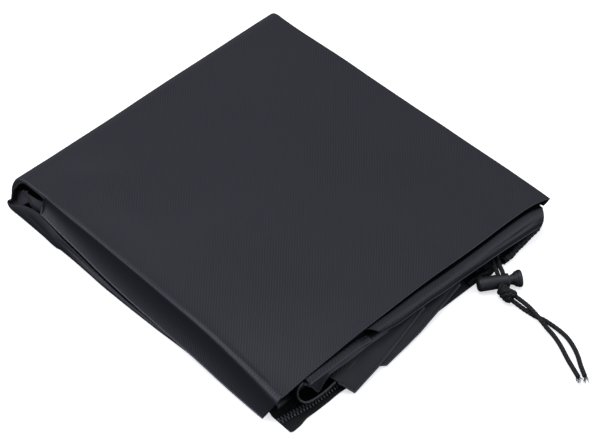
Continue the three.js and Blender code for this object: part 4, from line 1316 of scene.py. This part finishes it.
# How far from its root to its top a flap bends, and how much of its rise it has there.
FLAP_KNEE = (0.6, 0.75)
FLAP_HEM = 1.8


def flap_grid(flap):
    top = smooth(np.array(flap["top"]), 26)
    edge = np.array(flap["edge"], float)
    shares = np.linspace(0, 1, len(top))
    low = read_line(shares * (len(edge) - 1), range(len(edge)), edge)
    drop = np.linspace(0, 1, 33)[None, :, None]
    hang = top[:, None] + (low - top)[:, None] * drop
    hang[..., 2] += FLAP_BELLY * np.sin(math.pi * drop[..., 0])
    root = np.column_stack([np.full(len(top), FLAP_ROOT_X), top[:, 1],
                            np.full(len(top), flap["root"])])
    knee = root + (top - root) * FLAP_KNEE[0]
    knee[:, 2] = flap["root"] + (top[:, 2] - flap["root"]) * FLAP_KNEE[1]
    inner = smooth(np.stack([root, knee, top], 1), 5, axis=1)[:, :-1]
    return np.concatenate([inner, hang], 1)


# A darker copy of the same cloth for the flaps, with the shade under the roll painted in.
shaded_polyester = coated_polyester("coated twill polyester, painted shade on the flaps", "#121317", "#1e1f25",
                                    "#2b2a2e", 0.52)
for name, shape, seed in (("near_flap", NEAR_FLAP, 7), ("far_flap", FAR_FLAP, 8)):
    grid = flap_grid(shape)
    sewn(name, grid, rumple(grid, 15, 0.35, seed), hem_width=FLAP_HEM,
         cloth=shaded_polyester)

# Zip
# The cover's zip ends at the near corner: a woven tape that lies flat, with two rows of nylon coil
# sewn to it and meshed along its middle.
TAPE_CAD = 1.2
TAPE_CLOTH = 0.9
TAPE = tabled("y inner outer", [
    (-111.6, 110.4, 126.6),
    (-109.6, 104.9, 127.2),
    (-104, 104.9, 126.9),
    (-97, 104.9, 125.9),
    (-84.6, 104.9, 126.2),
    (-74, 104.9, 126.2),
    (-64.6, 104.9, 126.8),
])
CHAIN_LINE = [(117.1, -111.4), (118.1, -104.1), (119.4, -97.1), (120.7, -89.2), (121.2, -78),
              (121.2, -65.4)]
TAPE_ROWS, TAPE_COLUMNS = 70, 34
# How far the tape's outer edge curls up, from what share of its width, and how fast that comes and
# goes along it. Then the pitch of its rib and the width of its zigzag, as coarse as they show.
TAPE_CURL = 0.2
TAPE_CURL_FROM = 0.8
TAPE_CURL_LENGTH = 6
TAPE_RIB = 1.1
TAPE_ZIGZAG = 1.3
CHAIN_Z = 2.2
# A real tooth is finer than a pixel, so the teeth are drawn at the pitch that shows. Each is a bent
# wire: how far across the chain's middle and how high.
TOOTH_PITCH = 2.1
TOOTH_D = 0.95
TOOTH_TAPER = 0.8
TOOTH_BEND = [(-2.1, -0.5), (-1.75, 0.2), (-1.1, 0.5), (-0.45, 0.2), (0.5, -0.35)]
# How large the wire's worn patches are.
WIRE_WEAR = 1.43


def tape_polyester():
    """Dense herringbone tape of matt polyester: near black, with a fine rib across it."""
    material, tree, output = bare_material("herringbone tape")
    coordinates_and_painted_light = add(tree, "Attribute", {"attribute_name": "coordinates_and_painted_light"}).outputs["Vector"]
    parts = add(tree, "SeparateXYZ", inputs={"Vector": coordinates_and_painted_light})
    zig = add(tree, "Math", {"operation": "PINGPONG"}, {0: parts.outputs["Y"], 1: TAPE_ZIGZAG})
    slant = add(tree, "Math", {"operation": "ADD"}, {0: parts.outputs["X"], 1: zig.outputs[0]})
    phase = add(tree, "Math", {"operation": "MULTIPLY"},
                {0: slant.outputs[0], 1: 2 * math.pi / TAPE_RIB})
    rib = add(tree, "Math", {"operation": "SINE"}, {0: phase.outputs[0]})
    shade = add(tree, "MapRange", inputs={"Value": rib.outputs[0], "From Min": -1})
    colour = add(tree, "Mix", {"data_type": "RGBA"},
                 {"Factor": shade.outputs[0], 6: linear("#0c0c0f"), 7: linear("#1d1e22")})
    bump = add(tree, "Bump", inputs={"Height": rib.outputs[0], "Distance": 0.0001,
                                     "Strength": 0.6})
    cloth = add(tree, "BsdfPrincipled", inputs={
        "Base Color": colour.outputs[2], "Roughness": 0.7, "IOR": 1.4,
        "Normal": bump.outputs["Normal"],
    })
    finish(tree, output, cloth)
    return material


def coil_nylon():
    """Drawn nylon wire, wound to a coil: satin grey-black, worn a little brighter in small random
    patches.
    """
    material, tree, output = bare_material("drawn nylon coil")
    place = add(tree, "TexCoord").outputs["Object"]
    wear = add(tree, "TexNoise", inputs={"Vector": place, "Scale": 1 / (WIRE_WEAR * MM),
                                         "Detail": 2})
    colour = add(tree, "ValToRGB", inputs={"Fac": wear.outputs["Fac"]})
    colour.color_ramp.elements[0].color = linear("#2b2b2f")
    colour.color_ramp.elements[1].color = linear("#5a5b60")
    bump = add(tree, "Bump", inputs={"Height": wear.outputs["Fac"], "Distance": 0.00004,
                                     "Strength": 0.3})
    wire = add(tree, "BsdfPrincipled", inputs={
        "Base Color": colour.outputs["Color"], "Roughness": 0.34, "IOR": 1.53,
        "Normal": bump.outputs["Normal"],
    })
    finish(tree, output, wire)
    return material


places = np.linspace(TAPE[0]["y"], TAPE[-1]["y"], TAPE_ROWS)[:, None]
shares = np.linspace(0, 1, TAPE_COLUMNS)[None, :]
tape_inner, tape_outer = (follow(TAPE, "y", column)(places) for column in ("inner", "outer"))
tape_curl = TAPE_CURL * (1 + np.sin(places / TAPE_CURL_LENGTH)) * ramp(shares, TAPE_CURL_FROM, 1)
tape_grid = np.stack([
    tape_inner + (tape_outer - tape_inner) * shares,
    places + 0 * shares,
    TAPE_CAD / 2 + tape_curl,
], -1)
zip_tape = piece("zip_tape_cloth", [
    cloth_parts(*dressed(tape_grid, TAPE_CLOTH, TAPE_CAD, rumple(tape_grid, 6, 0.3, 9)), TAPE_CLOTH),
], tape_polyester())
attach(zip_tape, "cover")
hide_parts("zip_tape")

chain = spaced([(x, y, CHAIN_Z) for x, y in CHAIN_LINE], TOOTH_PITCH / 2)
chain_run = unit(np.gradient(chain, axis=0))
teeth = []
for i, (centre, run) in enumerate(zip(chain, chain_run)):
    hand = 1 if i % 2 else -1
    over = np.array((run[1], -run[0], 0)) * hand
    line = smooth([centre - over * across + (0, 0, z) for across, z in TOOTH_BEND], 3)
    teeth.append(rod(line, TOOTH_D / 2 * np.linspace(1.0, TOOTH_TAPER, len(line)), 8))
zip_coil = piece("zip_coil_teeth", teeth, coil_nylon())
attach(zip_coil, "cover")
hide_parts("zip_coil")

# Studio
# A plain pale table under a broad soft light from above and behind. The packet's sides see a dim
# room below the lights, which keeps them dark, as they are in the photograph.
FLOOR_SIZE = 6
FLOOR_GLOW = 0.6
# How bright the room is by the height of the direction, from straight down (-1) to straight up (1),
# and how much of that is left on the side away from the lights. The studio's sizes are in metres.
SKY = [(-1, 0.05), (-0.2, 0.12), (0.05, 0.4), (0.2, 0.8), (0.5, 0.34), (0.64, 0.33),
       (0.75, 0.44), (0.88, 0.95), (1, 1.35)]
SKY_TINT = (0.89, 0.91, 1.0)
LIT_SIDE = (-0.72, 0.69, 0)
LIT_FROM, LIT_TO = -0.7, 0.1
UNLIT_SHARE = 0.65
SOFTBOXES = tabled("name place size watts", [
    ("overhead_softbox", (-0.35, -0.15, 1.5), 0.9, 7),
    ("front_softbox", (-0.62, -1.0, 0.66), 0.4, 4),
    ("right_softbox", (1.2, 0.65, 0.42), 0.8, 4.6),
])

floor_mesh = bpy.data.meshes.new("floor")
half = FLOOR_SIZE / 2
floor_mesh.from_pydata([(-half, -half, 0), (half, -half, 0), (half, half, 0), (-half, half, 0)],
                       [], [(0, 1, 2, 3)])
floor = bpy.data.objects.new("floor", floor_mesh)
bpy.context.collection.objects.link(floor)
paper, tree, output = bare_material("white paper sweep")
finish(tree, output, add(tree, "BsdfPrincipled", inputs={
    "Base Color": linear("#f4f4f4"), "Roughness": 0.9,
    "Emission Color": linear("#ffffff"), "Emission Strength": FLOOR_GLOW}))
floor_mesh.materials.append(paper)
floor.visible_diffuse = False
floor.visible_glossy = False

world = bpy.data.worlds.new("studio")
bpy.context.scene.world = world
world.use_nodes = True
world.node_tree.nodes.clear()
direction = add(world.node_tree, "TexCoord").outputs["Generated"]
height = add(world.node_tree, "SeparateXYZ", inputs={"Vector": direction})
share = add(world.node_tree, "MapRange", inputs={"Value": height.outputs["Z"], "From Min": -1})
sky = add(world.node_tree, "ValToRGB", inputs={"Fac": share.outputs[0]})
brightest = max(level for _, level in SKY)
for i, (place, level) in enumerate(SKY):
    stop = sky.color_ramp.elements[i] if i < 2 else sky.color_ramp.elements.new(1)
    stop.position = (place + 1) / 2
    stop.color = [tint * level / brightest for tint in SKY_TINT] + [1]
towards = add(world.node_tree, "VectorMath", {"operation": "DOT_PRODUCT"},
              {0: direction, 1: LIT_SIDE})
side = add(world.node_tree, "MapRange", inputs={
    "Value": towards.outputs["Value"], "From Min": LIT_FROM, "From Max": LIT_TO,
    "To Min": UNLIT_SHARE * brightest, "To Max": brightest})
light = add(world.node_tree, "Background", inputs={"Color": sky.outputs["Color"],
                                                   "Strength": side.outputs[0]})
finish(world.node_tree, add(world.node_tree, "OutputWorld"), light)

for row in SOFTBOXES:
    lamp = bpy.data.lights.new(row["name"], "AREA")
    lamp.energy = row["watts"]
    lamp.size = row["size"]
    lamp.color = SKY_TINT
    softbox = bpy.data.objects.new(row["name"], lamp)
    softbox.location = row["place"]
    softbox.rotation_euler = (-Vector(row["place"])).to_track_quat("-Z", "Y").to_euler()
    bpy.context.collection.objects.link(softbox)
bpy.context.scene.view_settings.view_transform = "Standard"
